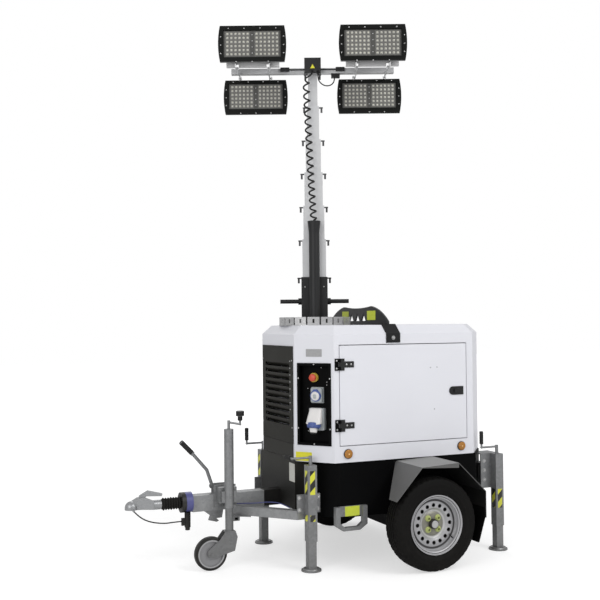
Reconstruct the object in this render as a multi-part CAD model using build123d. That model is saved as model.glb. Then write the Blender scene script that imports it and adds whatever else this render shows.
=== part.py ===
"""Mobile light tower on a braked single-axle chassis, standing on its jacks.

Frame: millimetres, +Z up, ground at Z 0, -X towards the coupling, -Y the near side.
"""

import math
import os

from build123d import *

os.makedirs("parts", exist_ok=True)

# Running clearance of sliding and turning fits, and the gap between panels that move
FIT = 0.3
PANEL_GAP = 5.0

# Road wheels: 155/80 R13 tyres on 13 inch steel rims
AXLE_X = 500.0
TYRE_R = 289.0
TYRE_WIDTH = 158.0
RIM_R = 182.5
RIM_SEAT_R = 168.0
RIM_WALL = 3.5
WHEEL_Y = 705.0
DISC_OFFSET = 40.0
VENT_COUNT = 16
VENT_R = 9.0
VENT_PITCH_R = 115.0
BOLT_COUNT = 4
BOLT_PITCH_R = 49.0
HUB_R = 62.0
STUB_R = 20.0

# Torsion axle and trailing arms
AXLE_TUBE = 70.0
ARM_LENGTH = 160.0
ARM_WIDTH = 60.0
ARM_THICK = 26.0
ARM_Y = 575.0

# Canopy: an octagonal box on the base tank
BODY_FRONT = -226.0
BODY_REAR = 1149.0
BODY_HALF = 485.0
CORNER_X = 178.0
CORNER_Y = 210.0
BODY_BOTTOM = 662.0
DOOR_TOP = 1388.5
FASCIA_BOTTOM = DOOR_TOP + PANEL_GAP
FASCIA_TOP = 1458.0
ROOF_TOP = 1515.0
HIP_RUN = 60.0
WALL = 25.0
DOOR_FRONT = -8.5
DOOR_REAR = 918.8
DOOR_BOTTOM = 767.6

# Hinges, latch and side markers
PIN_R = 3.5
KNUCKLE_R = 7.0
PIN_OUT = 8.0
HINGE_Z = (1271.0, 892.0)
HINGE_HEIGHT = 74.0
LEAF_LENGTH = 32.0
STRAP_LENGTH = 90.0
STRAP_HEIGHT = 38.0
LEAF_THICK = 5.0
LATCH_X = 840.0
LATCH_Z = 1080.0
LATCH_LENGTH = 108.0
LATCH_HEIGHT = 55.0
PADDLE_LENGTH = 44.0
PADDLE_HEIGHT = 26.0
PADDLE_OUT = 16.0
MARKER_R = 30.0
MARKER_DEPTH = 18.0
MARKER_Z = 715.3
MARKER_X = (43.5, 873.9)

# Louvre panel in the front face
LOUVRE_HALF = 258.0
LOUVRE_OPENING_HALF = 244.0
LOUVRE_BOTTOM = 767.0
LOUVRE_TOP = 1384.0
LOUVRE_LIP = 12.0
PANEL_THICK = 6.0
SLOT_COUNT = 10
SLOT_FIRST_Z = 876.0
SLOT_PITCH = 41.5
SLOT_HEIGHT = 25.0
SLOT_HALF = 205.0
BLADE_DEPTH = 34.0
BLADE_THICK = 3.0
BLADE_ANGLE = 40.0

# Control panel tray in the near front corner, in the corner's own directions
TRAY_HALF = 117.0
TRAY_BOTTOM = 766.0
TRAY_TOP = 1280.0
TRAY_LIP = 12.0
TRAY_DEPTH = 40.0
TRAY_WALL = 4.0
STOP_U = -12.0
STOP_Z = 1187.0
STOP_BASE_R = 31.0
STOP_HEAD_R = 21.0
SMALL_OUTLET = (86.0, 100.0)
SMALL_OUTLET_U = 8.0
SMALL_OUTLET_Z = 1078.0
SMALL_OUTLET_R = 33.0
LARGE_OUTLET = (118.0, 150.0)
LARGE_OUTLET_U = 12.0
LARGE_OUTLET_Z = 925.0
LARGE_OUTLET_R = 39.0

# Base tank, which is also the chassis, and the cover in front of it
TANK_FRONT = -150.0
TANK_REAR = 1137.0
TANK_INSET = 12.0
TANK_HALF = BODY_HALF - TANK_INSET
TANK_BOTTOM = 320.0
TANK_CORNER_X = 144.0
TANK_CORNER_Y = 170.0
COVER_FRONT = -232.0
COVER_INSET = 187.0
COVER_HALF = TANK_HALF - COVER_INSET
COVER_TOP = 668.0
COVER_NOSE_Z = 352.0
COVER_HEEL_Z = 330.0
SILL_OUT = 5.0
SILL_HALF = 254.0

# Engine and alternator, one plain block
ENGINE_X = (330.0, 930.0)
ENGINE_HALF = 230.0
ENGINE_HEIGHT = 480.0

# Mudguards: outline (X from the axle, Z) of the folded plate, from its low front edge round to the flap
MUD_OUTER = 790.0
MUD_THICK = 4.0
MUD_LIP = 31.0
MUD_TIP_WIDTH = 92.0
MUD_PROFILE = ((-288.0, 456.0), (-107.0, 648.0), (156.0, 660.0), (354.0, 470.0), (354.0, 305.0))
FLAP_THICK = 8.0
FLAP_WIDTH = 230.0
FLAP_INNER = MUD_OUTER - FLAP_WIDTH
FLAP_OVERLAP = 60.0
FLAP_DROP = (-48.0, -150.0)

# Jacks, each a set distance in from the tank's side
FRONT_JACK_Y = TANK_HALF - 69.0
REAR_JACK_Y = TANK_HALF - 22.0
FRONT_ARM_REACH = 114.0
REAR_ARM_REACH = 191.0
REAR_SHELF_REACH = 121.0
JACK_TUBE = 60.0
JACK_WALL = 4.0
JACK_PAD_R = 62.5
JACK_PAD_THICK = 10.0
JACK_LEG_OVERLAP = 330.0
# Rows of (name, X, Y, tube top, tube bottom, clamp low, clamp high)
JACKS = (
    ("front_near", -177.0, -FRONT_JACK_Y, 651.0, 181.0, 349.0, 467.0),
    ("front_far", -177.0, FRONT_JACK_Y, 651.0, 181.0, 349.0, 467.0),
    ("rear_near", 1179.0, -REAR_JACK_Y, 642.0, 163.0, 411.0, 636.0),
    ("rear_far", 1179.0, REAR_JACK_Y, 642.0, 163.0, 411.0, 636.0),
)
BRACKET_THICK = 10.0
CRANK_R = 7.0
CRANK_ARM = 122.0
GRIP_R = 12.0
GRIP_LENGTH = 84.0

# Drawbar
BEAM_FRONT = -825.0
BEAM_HALF = 40.0
BEAM_BOTTOM = 350.0
BEAM_TOP = 450.0
BEAM_WALL = 6.0
LEG_BOTTOM = 310.0
LEG_HEIGHT = 56.0
LEG_WIDTH = 50.0
LEG_START_X = -545.0
LEG_END_X = -190.0
LEG_END_Y = 395.0
GUSSET_THICK = 6.0
DRAWBAR_Z = 410.0
SHAFT_R = 22.0
RING_R = 63.0
RING_LENGTH = 70.0
BOOT_R = 40.0
BOOT_FOLDS = 6
BOOT_LENGTH = 126.0
BALL_SOCKET_R = 25.5
BALL_SHELL_R = 36.0
BALL_DEPTH = 42.0
BALL_X = -1206.0
BALL_Z = 405.0
CLAMP_PLATE_X = (-687.0, -543.0)
CLAMP_PLATE_Z = (372.0, 508.0)
CLAMP_PLATE_THICK = 8.0
CLAMP_BLOCK_Z = (402.0, 500.0)
CLAMP_CAP_Z = (410.0, 480.0)
LEVER_PIVOT = (-668.0, 489.0)
LEVER_ELBOW = (-704.0, 594.0)
LEVER_TIP = (-805.0, 711.0)
LEVER_GRIP = ((-796.0, 701.0), (-875.0, 783.0))
LEVER_R = 11.0

# Bent bracket under the beam, square socket beside it and the parked plug, as (X, Z)
BENT_PLATE = (
    (-751.0, 350.0), (-622.0, 350.0), (-631.0, 300.0), (-668.0, 298.0),
    (-650.0, 281.0), (-667.0, 275.0), (-722.0, 290.0), (-711.0, 320.0),
)
BENT_PLATE_Y = -34.0
SOCKET_X = (-566.0, -521.0)
SOCKET_Y = (-62.0, -50.0)
SOCKET_BOTTOM = 274.0
PLUG_X = (-876.0, -838.0)
PLUG_Z = (242.0, 352.0)
PLUG_LUG_X = -896.0
PLUG_LUG_Z = (272.0, 318.0)

# Cords that hang free: routes as (X, Y, Z), the lamp lead's in the mast's own directions
FERRULE_R = 6.0
BREAKAWAY_R = 4.0
BREAKAWAY_ROUTE = (
    (-1197.0, -42.0, 386.0), (-1167.0, -40.0, 352.0), (-1104.0, -36.0, 315.0),
    (-1011.0, -32.0, 295.0), (-943.0, -30.0, 298.0), (-896.0, -30.0, 298.0),
)
BRAKE_WIRE_R = 3.0
BRAKE_WIRE_ROUTE = (
    (-540.0, -62.0, 384.0), (-500.0, -96.0, 389.0), (-440.0, -140.0, 392.0),
    (-380.0, -192.0, 404.0), (-328.0, -236.0, 402.0), (-292.0, -268.0, 388.0),
    (-268.0, -290.0, 372.0),
)
LEAD_R = 4.0
LEAD_ROUTE = (
    (36.0, -62.0, 3199.0), (36.0, -62.0, 3165.0), (51.0, -56.0, 3139.0), (77.0, -45.0, 3124.0),
    (107.0, -32.0, 3124.0), (133.0, -19.0, 3139.0), (148.0, -12.0, 3165.0), (148.0, -12.0, 3188.0),
)

# Jockey wheel
JOCKEY_X = -614.0
JOCKEY_Y = -126.0
JOCKEY_TUBE_R = 30.0
JOCKEY_TUBE_WALL = 4.0
JOCKEY_TOP = 869.0
JOCKEY_BOTTOM = 377.0
JOCKEY_LEG_BOTTOM = 236.0
JOCKEY_LEG_TOP = 800.0
JOCKEY_WHEEL_R = 104.0
JOCKEY_WHEEL_WIDTH = 44.0
JOCKEY_TRAIL = 124.0
JOCKEY_AXLE_R = 8.0
KNOB_R = 25.0
KNOB_STEM_R = 14.0

# Telescopic mast, turned about its own axis from the crosswise position
MAST_X = 45.0
MAST_TURN = -24.0
MAST_WALL = 3.5
MAST_FOOT = 500.0
MAST_BASE_TOP = 1836.0
SECTION_LENGTH = 1300.0
SECTION_WIDTHS = (157.0, 140.0, 122.0, 102.0, 82.0, 63.0)
SECTION_TOPS = (2088.0, 2313.0, 2538.0, 2763.0, 2988.0, 3213.0)
BASE_WIDTH = 174.0
GUIDE_HEIGHT = 30.0
FLAG_OUT = 27.0
FLAG_HEIGHT = 38.0
FLAG_THICK = 6.0
FLAG_BAR = 9.0
FLAG_HOOK = (11.0, 24.0)
ROOF_HOLE_R = 131.0
DISC_R = 190.0
DISC_THICK = 12.0
HANDLE_Z = 1676.0
HANDLE_R = 14.0
HANDLE_REACH = 230.0
CABLE_TUBE_R = 35.0
CABLE_TUBE_WALL = 3.0
CABLE_TUBE_Y = -130.0
FUNNEL_R = 43.0
FUNNEL_BOTTOM = 2124.0
FUNNEL_TOP = 2203.0

# Index ring on the roof
RING_INNER = 150.0
RING_OUTER = 240.0
RING_PLATE = 4.0
TAB_COUNT = 17
TAB_WIDTH = 78.0
TAB_TOP = 1570.0
TAB_THICK = 5.0
TAB_R = 232.0
TAB_SLOT = (13.0, 26.0)
TAB_SLOT_Z = 1544.0

# Lifting arch and its straps over the roof edges
ARCH_X = 371.0
ARCH_THICK = 12.0
ARCH_HALF = 430.0
ARCH_TOP = 1640.0
WINDOW_PITCH = 90.0
WINDOW_BASE = 65.0
WINDOW_HEIGHT = 54.0
WINDOW_Z = 1542.0
STRAP_WIDTH = 100.0
STRAP_THICK = 6.0
STRAP_BOTTOM = 1402.0
STRAP_INNER = 300.0

# Head: crossbar, junction box and lamps
BAR_HALF = 548.0
BAR_HEIGHT = 36.0
BAR_DEPTH = 40.0
BOX_HALF = 55.0
BOX_DEPTH = 90.0
BOX_HEIGHT = 82.0
CONNECTOR_X = (156.0, 216.0)
CONNECTOR_DEPTH = 18.0
CONNECTOR_HEIGHT = 26.0
LAMP_WIDTH = 445.0
LAMP_HEIGHT = 237.0
LAMP_DEPTH = 70.0
LAMP_RIM = 22.0
LAMP_BOW = 12.0
LAMP_X = 394.0
LAMP_Y = 200.0
LAMP_UPPER_Z = 3355.0
LAMP_LOWER_Z = 3102.0
LOWER_WINDOW_RISE = 6.0
WINDOW_WIDTH = 376.0
WINDOW_TALL = 176.0
ARM_PITCH = 100.0
LAMP_ARM_THICK = 6.0
LAMP_ARM_HEIGHT = 24.0
LAMP_PIN_R = 6.0
LAMP_PIN_Y = 150.0
LOWER_PIN_RISE = 15.0
CHANNEL_HALF = 175.0
CHANNEL_HEIGHT = 37.0
CHANNEL_DEPTH = 32.0
CHANNEL_RISE = 11.0
CHANNEL_WALL = 4.0
FIN_COUNT = 9
FIN_THICK = 4.0
FIN_DEPTH = 24.0

# Curly cord from the junction box into the cable tube
CURL_R = 25.0
CURL_TOP_X = -38.0
CURL_TOP_Y = -80.0
CURL_BOTTOM_Z = 2172.0

# Forklift loops under the tank sides
LOOP_X = ((-53.0, 166.0), (614.0, 833.0))
LOOP_BOTTOM = 243.0
LOOP_TOP = 392.0
LOOP_THICK = 30.0
LOOP_BAND = 22.0
LOOP_POST = 32.0
LOOP_CORNER_X = 52.0
LOOP_CORNER_Z = 34.0
LOOP_PLATE_Z = 329.0
LOOP_PLATE_THICK = 6.0

# Rear lamps
LAMP_BAR_Z = 560.0
REAR_LAMP_HALF = 60.0
REAR_LAMP_HEIGHT = 100.0

NODES = {}


def save(name, shape):
    """Keep one node under its name."""
    NODES[name] = shape


def group(*shapes):
    """Solids that stand apart but share one node."""
    return Compound(children=list(shapes))


def block(x0, x1, y0, y1, z0, z1):
    """A box between two corners."""
    size = (x1 - x0, y1 - y0, z1 - z0)
    middle = ((x0 + x1) / 2, (y0 + y1) / 2, (z0 + z1) / 2)
    return Pos(*middle) * Box(*size)


def rod(start, end, radius):
    """A round bar between two points."""
    a, b = Vector(*start), Vector(*end)
    return Plane(origin=a, z_dir=b - a) * extrude(Circle(radius), (b - a).length)


def ferrule(end, inner, length):
    """The short sleeve that a cord comes out of, in line with the cord's end."""
    a, b = Vector(*end), Vector(*inner)
    back = (a - b).normalized() * length
    return rod(tuple(a), tuple(a + back), FERRULE_R)


def cord_tube(route, radius):
    """A cord as straight runs joined by tangent arcs, each as large as its two runs allow."""
    points = [Vector(*point) for point in route]
    radii = []
    for a, b, c in zip(points, points[1:], points[2:]):
        turn = math.radians((b - a).get_angle(c - b))
        radii.append(0.45 * min((b - a).length, (c - b).length) / math.tan(turn / 2))
    path = FilletPolyline(*points, radius=radii)
    start = Plane(origin=points[0], z_dir=points[1] - points[0])
    tube = sweep(start * Circle(radius), path=path)
    expected = math.pi * radius ** 2 * path.length
    print("cord", round(path.length, 1), "long, smallest radius", round(min(radii), 1),
          "volume ratio", round(tube.volume / expected, 4))
    return tube


def octagon(x0, x1, half, cx, cy):
    """Corner points of a box seen from above with its four corners cut."""
    return (
        (x0, -half + cy), (x0 + cx, -half), (x1 - cx, -half), (x1, -half + cy),
        (x1, half - cy), (x1 - cx, half), (x0 + cx, half), (x0, half - cy),
    )


def prism(points, z0, z1):
    """A flat outline raised from z0 to z1."""
    return Pos(0, 0, z0) * extrude(make_face(Polyline(*points, close=True)), z1 - z0)


def side_profile(points, y0, y1):
    """An (X, Z) outline carried from y0 to y1."""
    face = Plane(origin=(0, y0, 0), x_dir=(1, 0, 0), z_dir=(0, -1, 0)) * make_face(
        Polyline(*points, close=True)
    )
    return extrude(face, y1 - y0, dir=(0, 1, 0))


def cross_profile(points, x0, x1):
    """A (Y, Z) outline carried from x0 to x1."""
    face = Plane(origin=(x0, 0, 0), x_dir=(0, 1, 0), z_dir=(1, 0, 0)) * make_face(
        Polyline(*points, close=True)
    )
    return extrude(face, x1 - x0, dir=(1, 0, 0))


def mirrored(shape):
    """The same piece on the far side."""
    return mirror(shape, about=Plane.XZ)


def square_tube(width, wall, z0, z1, x=0.0, y=0.0):
    """An upright square tube, open at both ends."""
    outer = block(x - width / 2, x + width / 2, y - width / 2, y + width / 2, z0, z1)
    inner = width / 2 - wall
    return outer - block(x - inner, x + inner, y - inner, y + inner, z0 - 1, z1 + 1)


def body_outline(inset=0.0):
    """The canopy's outline, moved in by one wall where inset is given."""
    slope = math.hypot(CORNER_X, CORNER_Y)
    trim = CORNER_X + CORNER_Y - slope
    cx = CORNER_X - inset * trim / CORNER_Y
    cy = CORNER_Y - inset * trim / CORNER_X
    return octagon(BODY_FRONT + inset, BODY_REAR - inset, BODY_HALF - inset, cx, cy)


def tank_outline():
    """The base tank's outline, set in from the canopy's."""
    return octagon(TANK_FRONT, TANK_REAR, TANK_HALF, TANK_CORNER_X, TANK_CORNER_Y)


def corner_plane():
    """The near front corner's own directions: X along it, Y up, Z out."""
    middle = (BODY_FRONT + CORNER_X / 2, -BODY_HALF + CORNER_Y / 2, 0)
    slope = math.hypot(CORNER_X, CORNER_Y)
    along = (CORNER_X / slope, -CORNER_Y / slope, 0)
    return Plane(origin=middle, x_dir=along, z_dir=(-CORNER_Y / slope, -CORNER_X / slope, 0))


def corner_block(u0, u1, z0, z1, n0, n1):
    """A box placed in the near front corner's directions."""
    return corner_plane() * block(u0, u1, z0, z1, n0, n1)


def build_canopy():
    """Front and rear folded panels and the two side frames round the doors."""
    shell = prism(body_outline(), BODY_BOTTOM, FASCIA_BOTTOM)
    shell -= prism(body_outline(WALL), BODY_BOTTOM - 1, FASCIA_BOTTOM + 1)
    far = BODY_HALF + 50
    tall = (BODY_BOTTOM - 5, FASCIA_BOTTOM + 5)
    front_end = BODY_FRONT + CORNER_X
    rear_end = BODY_REAR - CORNER_X
    front = shell & block(BODY_FRONT - 50, front_end, -far, far, *tall)
    front -= block(
        BODY_FRONT - 50, BODY_FRONT + WALL + 20,
        -LOUVRE_OPENING_HALF, LOUVRE_OPENING_HALF,
        LOUVRE_BOTTOM + LOUVRE_LIP, LOUVRE_TOP - LOUVRE_LIP,
    )
    opening = TRAY_HALF - TRAY_LIP
    front -= corner_block(
        -opening, opening, TRAY_BOTTOM + TRAY_LIP, TRAY_TOP - TRAY_LIP, -WALL - 30, 30
    )
    save("canopy_front", front)
    save("canopy_rear", shell & block(rear_end, BODY_REAR + 50, -far, far, *tall))
    side = shell & block(front_end, rear_end, -far, 0, *tall)
    side -= block(
        DOOR_FRONT - PANEL_GAP, DOOR_REAR + PANEL_GAP, -far, 0,
        DOOR_BOTTOM - PANEL_GAP, FASCIA_BOTTOM + 10,
    )
    save("side_frames", group(side, mirrored(side)))


def build_roof():
    """The hipped cap: an upright fascia, a sloping hip and a flat top with the mast's hole."""
    def cap(inset, drop):
        base = body_outline(inset)
        slope = math.hypot(CORNER_X, CORNER_Y)
        trim = CORNER_X + CORNER_Y - slope
        run = inset + HIP_RUN
        top = octagon(
            BODY_FRONT + run, BODY_REAR - run, BODY_HALF - run,
            CORNER_X - run * trim / CORNER_Y, CORNER_Y - run * trim / CORNER_X,
        )
        lower = prism(base, FASCIA_BOTTOM - drop, FASCIA_TOP - drop)
        low_face = Pos(0, 0, FASCIA_TOP - drop) * make_face(Polyline(*base, close=True))
        top_face = Pos(0, 0, ROOF_TOP - drop) * make_face(Polyline(*top, close=True))
        return lower + loft([low_face, top_face])

    roof = cap(0.0, 0.0) - cap(WALL, WALL)
    roof -= Pos(MAST_X, 0, ROOF_TOP) * Cylinder(ROOF_HOLE_R, 4 * WALL)
    save("roof", roof)


def build_doors():
    """Two side doors, each with its strap hinges and latch."""
    outer = -BODY_HALF
    pin_y = outer - PIN_OUT
    pin_x = DOOR_FRONT - PANEL_GAP / 2
    door = block(DOOR_FRONT, DOOR_REAR, outer, outer + WALL, DOOR_BOTTOM, DOOR_TOP)
    leaves = []
    for z in HINGE_Z:
        low, high = z - HINGE_HEIGHT / 2, z + HINGE_HEIGHT / 2
        third = HINGE_HEIGHT / 3
        strap_x = pin_x + KNUCKLE_R + 2
        strap = block(strap_x, strap_x + LEAF_LENGTH - KNUCKLE_R, outer - LEAF_THICK, outer, low, high)
        strap += block(strap_x, strap_x + STRAP_LENGTH, outer - LEAF_THICK, outer,
                       z - STRAP_HEIGHT / 2, z + STRAP_HEIGHT / 2)
        knuckle = rod((pin_x, pin_y, low + third), (pin_x, pin_y, high - third), KNUCKLE_R)
        neck = block(pin_x, strap_x + 2, outer - LEAF_THICK - 2, outer, low + third, high - third)
        bore = rod((pin_x, pin_y, low - 1), (pin_x, pin_y, high + 1), PIN_R + 0.1)
        door += strap + neck
        door += knuckle
        door -= bore
        leaf = block(
            pin_x - LEAF_LENGTH, pin_x, outer - LEAF_THICK, outer, low, low + third - 1,
        )
        leaf += block(
            pin_x - LEAF_LENGTH, pin_x, outer - LEAF_THICK, outer, high - third + 1, high,
        )
        leaf += block(
            pin_x - LEAF_LENGTH, pin_x - KNUCKLE_R - 2, outer - LEAF_THICK, outer, low, high,
        )
        leaf += rod((pin_x, pin_y, low), (pin_x, pin_y, low + third - 1), KNUCKLE_R)
        leaf += rod((pin_x, pin_y, high - third + 1), (pin_x, pin_y, high), KNUCKLE_R)
        leaf += rod((pin_x, pin_y, low), (pin_x, pin_y, high), PIN_R)
        leaf -= block(pin_x - 100, pin_x + 100, outer, outer + 100, low - 1, high + 1)
        leaves.append(leaf)
    inner_cut = block(pin_x - 30, DOOR_FRONT, outer - 0.01, outer + WALL + 1, DOOR_BOTTOM, DOOR_TOP)
    door -= inner_cut
    round_r = LATCH_HEIGHT / 2
    plate = Pos(round_r - LATCH_LENGTH / 2, 0) * Circle(round_r)
    plate += Pos(round_r / 2, 0) * Rectangle(LATCH_LENGTH - round_r, LATCH_HEIGHT)
    latch_plane = Plane(origin=(LATCH_X, outer, LATCH_Z), x_dir=(1, 0, 0), z_dir=(0, -1, 0))
    door += latch_plane * extrude(plate, LEAF_THICK)
    paddle = RectangleRounded(PADDLE_LENGTH, PADDLE_HEIGHT, PADDLE_HEIGHT / 4)
    door += latch_plane * extrude(paddle, PADDLE_OUT, taper=8)
    save("door_near", door)
    save("door_far", mirrored(door))
    save("hinge_leaves", group(*leaves, *[mirrored(leaf) for leaf in leaves]))


def build_louvres():
    """The dark front panel with ten slots and an angled blade behind each."""
    x0 = BODY_FRONT - PANEL_THICK
    panel = block(x0, BODY_FRONT, -LOUVRE_HALF, LOUVRE_HALF, LOUVRE_BOTTOM, LOUVRE_TOP)
    blades = None
    tilt = math.radians(BLADE_ANGLE)
    for index in range(SLOT_COUNT):
        z = SLOT_FIRST_Z + index * SLOT_PITCH
        panel -= block(x0 - 1, BODY_FRONT + 1, -SLOT_HALF, SLOT_HALF, z, z + SLOT_HEIGHT)
        reach = BLADE_DEPTH * math.cos(tilt)
        rise = BLADE_DEPTH * math.sin(tilt)
        thick = BLADE_THICK / math.cos(tilt)
        outline = (
            (x0 + 2, z + SLOT_HEIGHT), (x0 + 2, z + SLOT_HEIGHT + thick),
            (x0 + 2 + reach, z + SLOT_HEIGHT + thick - rise),
            (x0 + 2 + reach, z + SLOT_HEIGHT - rise),
        )
        blade = side_profile(outline, -SLOT_HALF - 8, SLOT_HALF + 8)
        blades = blade if blades is None else blades + blade
    save("louvre_panel", panel + blades)


def build_control_panel():
    """The recessed tray in the near front corner with its button and outlets."""
    opening = TRAY_HALF - TRAY_LIP - FIT
    low, high = TRAY_BOTTOM + TRAY_LIP + FIT, TRAY_TOP - TRAY_LIP - FIT
    tray = corner_block(-TRAY_HALF, TRAY_HALF, TRAY_BOTTOM, TRAY_TOP, 0, TRAY_WALL)
    tray += corner_block(-opening, opening, low, high, -TRAY_DEPTH - TRAY_WALL, 0)
    inner = opening - TRAY_WALL
    tray -= corner_block(-inner, inner, low + TRAY_WALL, high - TRAY_WALL, -TRAY_DEPTH, 20)
    save("control_panel", tray)

    back = corner_plane().offset(-TRAY_DEPTH)
    stop = back * Pos(STOP_U, STOP_Z, 0) * extrude(Circle(STOP_BASE_R), 16)
    stop += back * Pos(STOP_U, STOP_Z, 16) * extrude(Circle(12), 12)
    stop += back * Pos(STOP_U, STOP_Z, 28) * extrude(Circle(STOP_HEAD_R), 14, taper=8)
    save("stop_button", stop)
    place = back * Pos(SMALL_OUTLET_U, SMALL_OUTLET_Z, 0)
    small = place * extrude(RectangleRounded(*SMALL_OUTLET, 8), 34)
    small += place * Pos(0, 0, 34) * extrude(Circle(SMALL_OUTLET_R), 16)
    place = back * Pos(LARGE_OUTLET_U, LARGE_OUTLET_Z, 0)
    hood = place * extrude(RectangleRounded(*LARGE_OUTLET, 12), 38)
    axis = back.z_dir - Vector(0, 0, 1)
    start = back.origin + back.x_dir * LARGE_OUTLET_U + Vector(0, 0, LARGE_OUTLET_Z) + back.z_dir * 26
    nozzle = Plane(origin=start, x_dir=back.x_dir, z_dir=axis) * extrude(Circle(LARGE_OUTLET_R), 74)
    hood += nozzle - (place * Pos(0, 0, -60) * Box(300, 400, 120))
    save("outlets", group(small, hood))


def build_tank():
    """Base tank with the mast's well, and the sloping cover in front of it."""
    tank = prism(tank_outline(), TANK_BOTTOM, BODY_BOTTOM)
    well_depth = BODY_BOTTOM - MAST_FOOT + FIT
    tank -= Pos(MAST_X, 0, BODY_BOTTOM - well_depth / 2) * Cylinder(ROOF_HOLE_R, well_depth)
    save("base_tank", tank)
    outline = (
        (COVER_FRONT, COVER_TOP), (BODY_FRONT, COVER_TOP),
        (BODY_FRONT, BODY_BOTTOM), (TANK_FRONT, BODY_BOTTOM), (TANK_FRONT, COVER_HEEL_Z),
        (COVER_FRONT, COVER_NOSE_Z),
    )
    cover = side_profile(outline, -COVER_HALF, COVER_HALF)
    cover -= block(
        COVER_FRONT - 5, TANK_FRONT + 5, -BEAM_HALF - FIT, BEAM_HALF + FIT, 0, BEAM_TOP + FIT
    )
    sill = block(
        BODY_FRONT - SILL_OUT, BODY_FRONT, -SILL_HALF, SILL_HALF, COVER_TOP + 2, LOUVRE_BOTTOM - 2
    )
    save("front_cover", group(cover, sill))
    save("engine_block", block(
        *ENGINE_X, -ENGINE_HALF, ENGINE_HALF, BODY_BOTTOM, BODY_BOTTOM + ENGINE_HEIGHT
    ))


def build_axle():
    """Square axle tube, trailing arms and stub axles under the tank."""
    pivot_x = AXLE_X - ARM_LENGTH
    half = AXLE_TUBE / 2
    tube_z = TANK_BOTTOM - half
    axle = block(pivot_x - half, pivot_x + half, -ARM_Y, ARM_Y, TANK_BOTTOM - AXLE_TUBE, TANK_BOTTOM)
    for side in (-1, 1):
        inner = side * ARM_Y
        outer = side * (ARM_Y + ARM_THICK)
        y0, y1 = min(inner, outer), max(inner, outer)
        axle += rod((pivot_x, y0, tube_z), (pivot_x, y1, tube_z), ARM_WIDTH / 2 + 8)
        axle += rod((AXLE_X, y0, TYRE_R), (AXLE_X, y1, TYRE_R), ARM_WIDTH / 2)
        arm = block(pivot_x, AXLE_X, y0, y1, TYRE_R - ARM_WIDTH / 2 + 6, TYRE_R + ARM_WIDTH / 2 - 6)
        axle += arm
        tip = side * (WHEEL_Y - 8)
        axle += rod((AXLE_X, inner, TYRE_R), (AXLE_X, tip, TYRE_R), STUB_R)
    save("axle_beam", axle)


def build_wheels():
    """Tyre and pierced steel rim for each side."""
    half = TYRE_WIDTH / 2
    tread = half - 14
    with BuildPart() as tyre:
        with BuildSketch(Plane.XZ):
            with BuildLine():
                Polyline((RIM_SEAT_R, -half + 18), (RIM_SEAT_R, half - 18))
                Line((RIM_SEAT_R, half - 18), (RIM_R + 2, half - 12))
                ThreePointArc((RIM_R + 2, half - 12), (228, half), (TYRE_R - 14, half - 8))
                ThreePointArc((TYRE_R - 14, half - 8), (TYRE_R - 6, half - 14), (TYRE_R - 2, tread - 12))
                ThreePointArc((TYRE_R - 2, tread - 12), (TYRE_R, 0), (TYRE_R - 2, -tread + 12))
                ThreePointArc(
                    (TYRE_R - 2, -tread + 12), (TYRE_R - 6, -half + 14), (TYRE_R - 14, -half + 8)
                )
                ThreePointArc((TYRE_R - 14, -half + 8), (228, -half), (RIM_R + 2, -half + 12))
                Line((RIM_R + 2, -half + 12), (RIM_SEAT_R, -half + 18))
            make_face()
        revolve(axis=Axis.Z)
    turned = Rot(90, 0, 0) * tyre.part

    seat = half - 18
    disc_y = seat - DISC_OFFSET
    bead, wall = RIM_SEAT_R - FIT, RIM_SEAT_R - FIT - 5
    flange = half - 5
    outline = (
        (RIM_R, -flange), (RIM_R, -seat - 6.5), (RIM_R - 1.5, -seat - 5.5), (bead, -seat - 0.5),
        (bead, seat + 0.5), (RIM_R - 1.5, seat + 5.5), (RIM_R, seat + 6.5), (RIM_R, flange),
        (RIM_R - 5, flange), (RIM_R - 10, seat + 5), (wall, seat), (wall, disc_y + 22),
        (wall - 5, disc_y + 10), (136.0, disc_y + 10), (122.0, disc_y + 14), (100.0, disc_y + 12),
        (84.0, disc_y - 2), (HUB_R + 14, disc_y - 4), (HUB_R + 2, disc_y + 2),
        (STUB_R + 9, disc_y + 2), (STUB_R + 9, disc_y + 2 - RIM_WALL), (HUB_R, disc_y - 3),
        (HUB_R + 14, disc_y - 4 - 2 * RIM_WALL), (86.0, disc_y - 4 - RIM_WALL),
        (100.0, disc_y + 12 - RIM_WALL), (122.0, disc_y + 14 - RIM_WALL),
        (136.0, disc_y + 10 - RIM_WALL), (wall - 5, disc_y + 10 - RIM_WALL),
        (wall, disc_y - 12), (wall, -seat), (RIM_R - 10, -seat - 5), (RIM_R - 5, -flange),
    )
    profile = Plane.XZ * make_face(Polyline(*outline, close=True))
    rim = revolve(profile, axis=Axis.Z)
    for index in range(VENT_COUNT):
        angle = index * 360 / VENT_COUNT
        rim -= Rot(0, 0, angle) * Pos(VENT_PITCH_R, 0, disc_y + 10) * Cylinder(VENT_R, 40)
    hub = Pos(0, 0, disc_y - 45) * extrude(Circle(HUB_R - 8), 42)
    hub += Pos(0, 0, disc_y - 3) * extrude(Circle(STUB_R + 8.5), 30, taper=6)
    hub -= Pos(0, 0, disc_y - 46) * extrude(Circle(STUB_R + 0.1), 62)
    for index in range(BOLT_COUNT):
        angle = 45 + index * 360 / BOLT_COUNT
        hub += Rot(0, 0, angle) * Pos(BOLT_PITCH_R, 0, disc_y - 10) * extrude(RegularPolygon(10, 6), 26)
    rim_turned = Rot(90, 0, 0) * (rim + hub)
    for name, side in (("near", -1), ("far", 1)):
        place = Pos(AXLE_X, side * WHEEL_Y, TYRE_R)
        flip = Rot(0, 0, 0 if side < 0 else 180)
        save(f"tyre_{name}", place * flip * turned)
        save(f"rim_{name}", place * flip * rim_turned)


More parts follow.
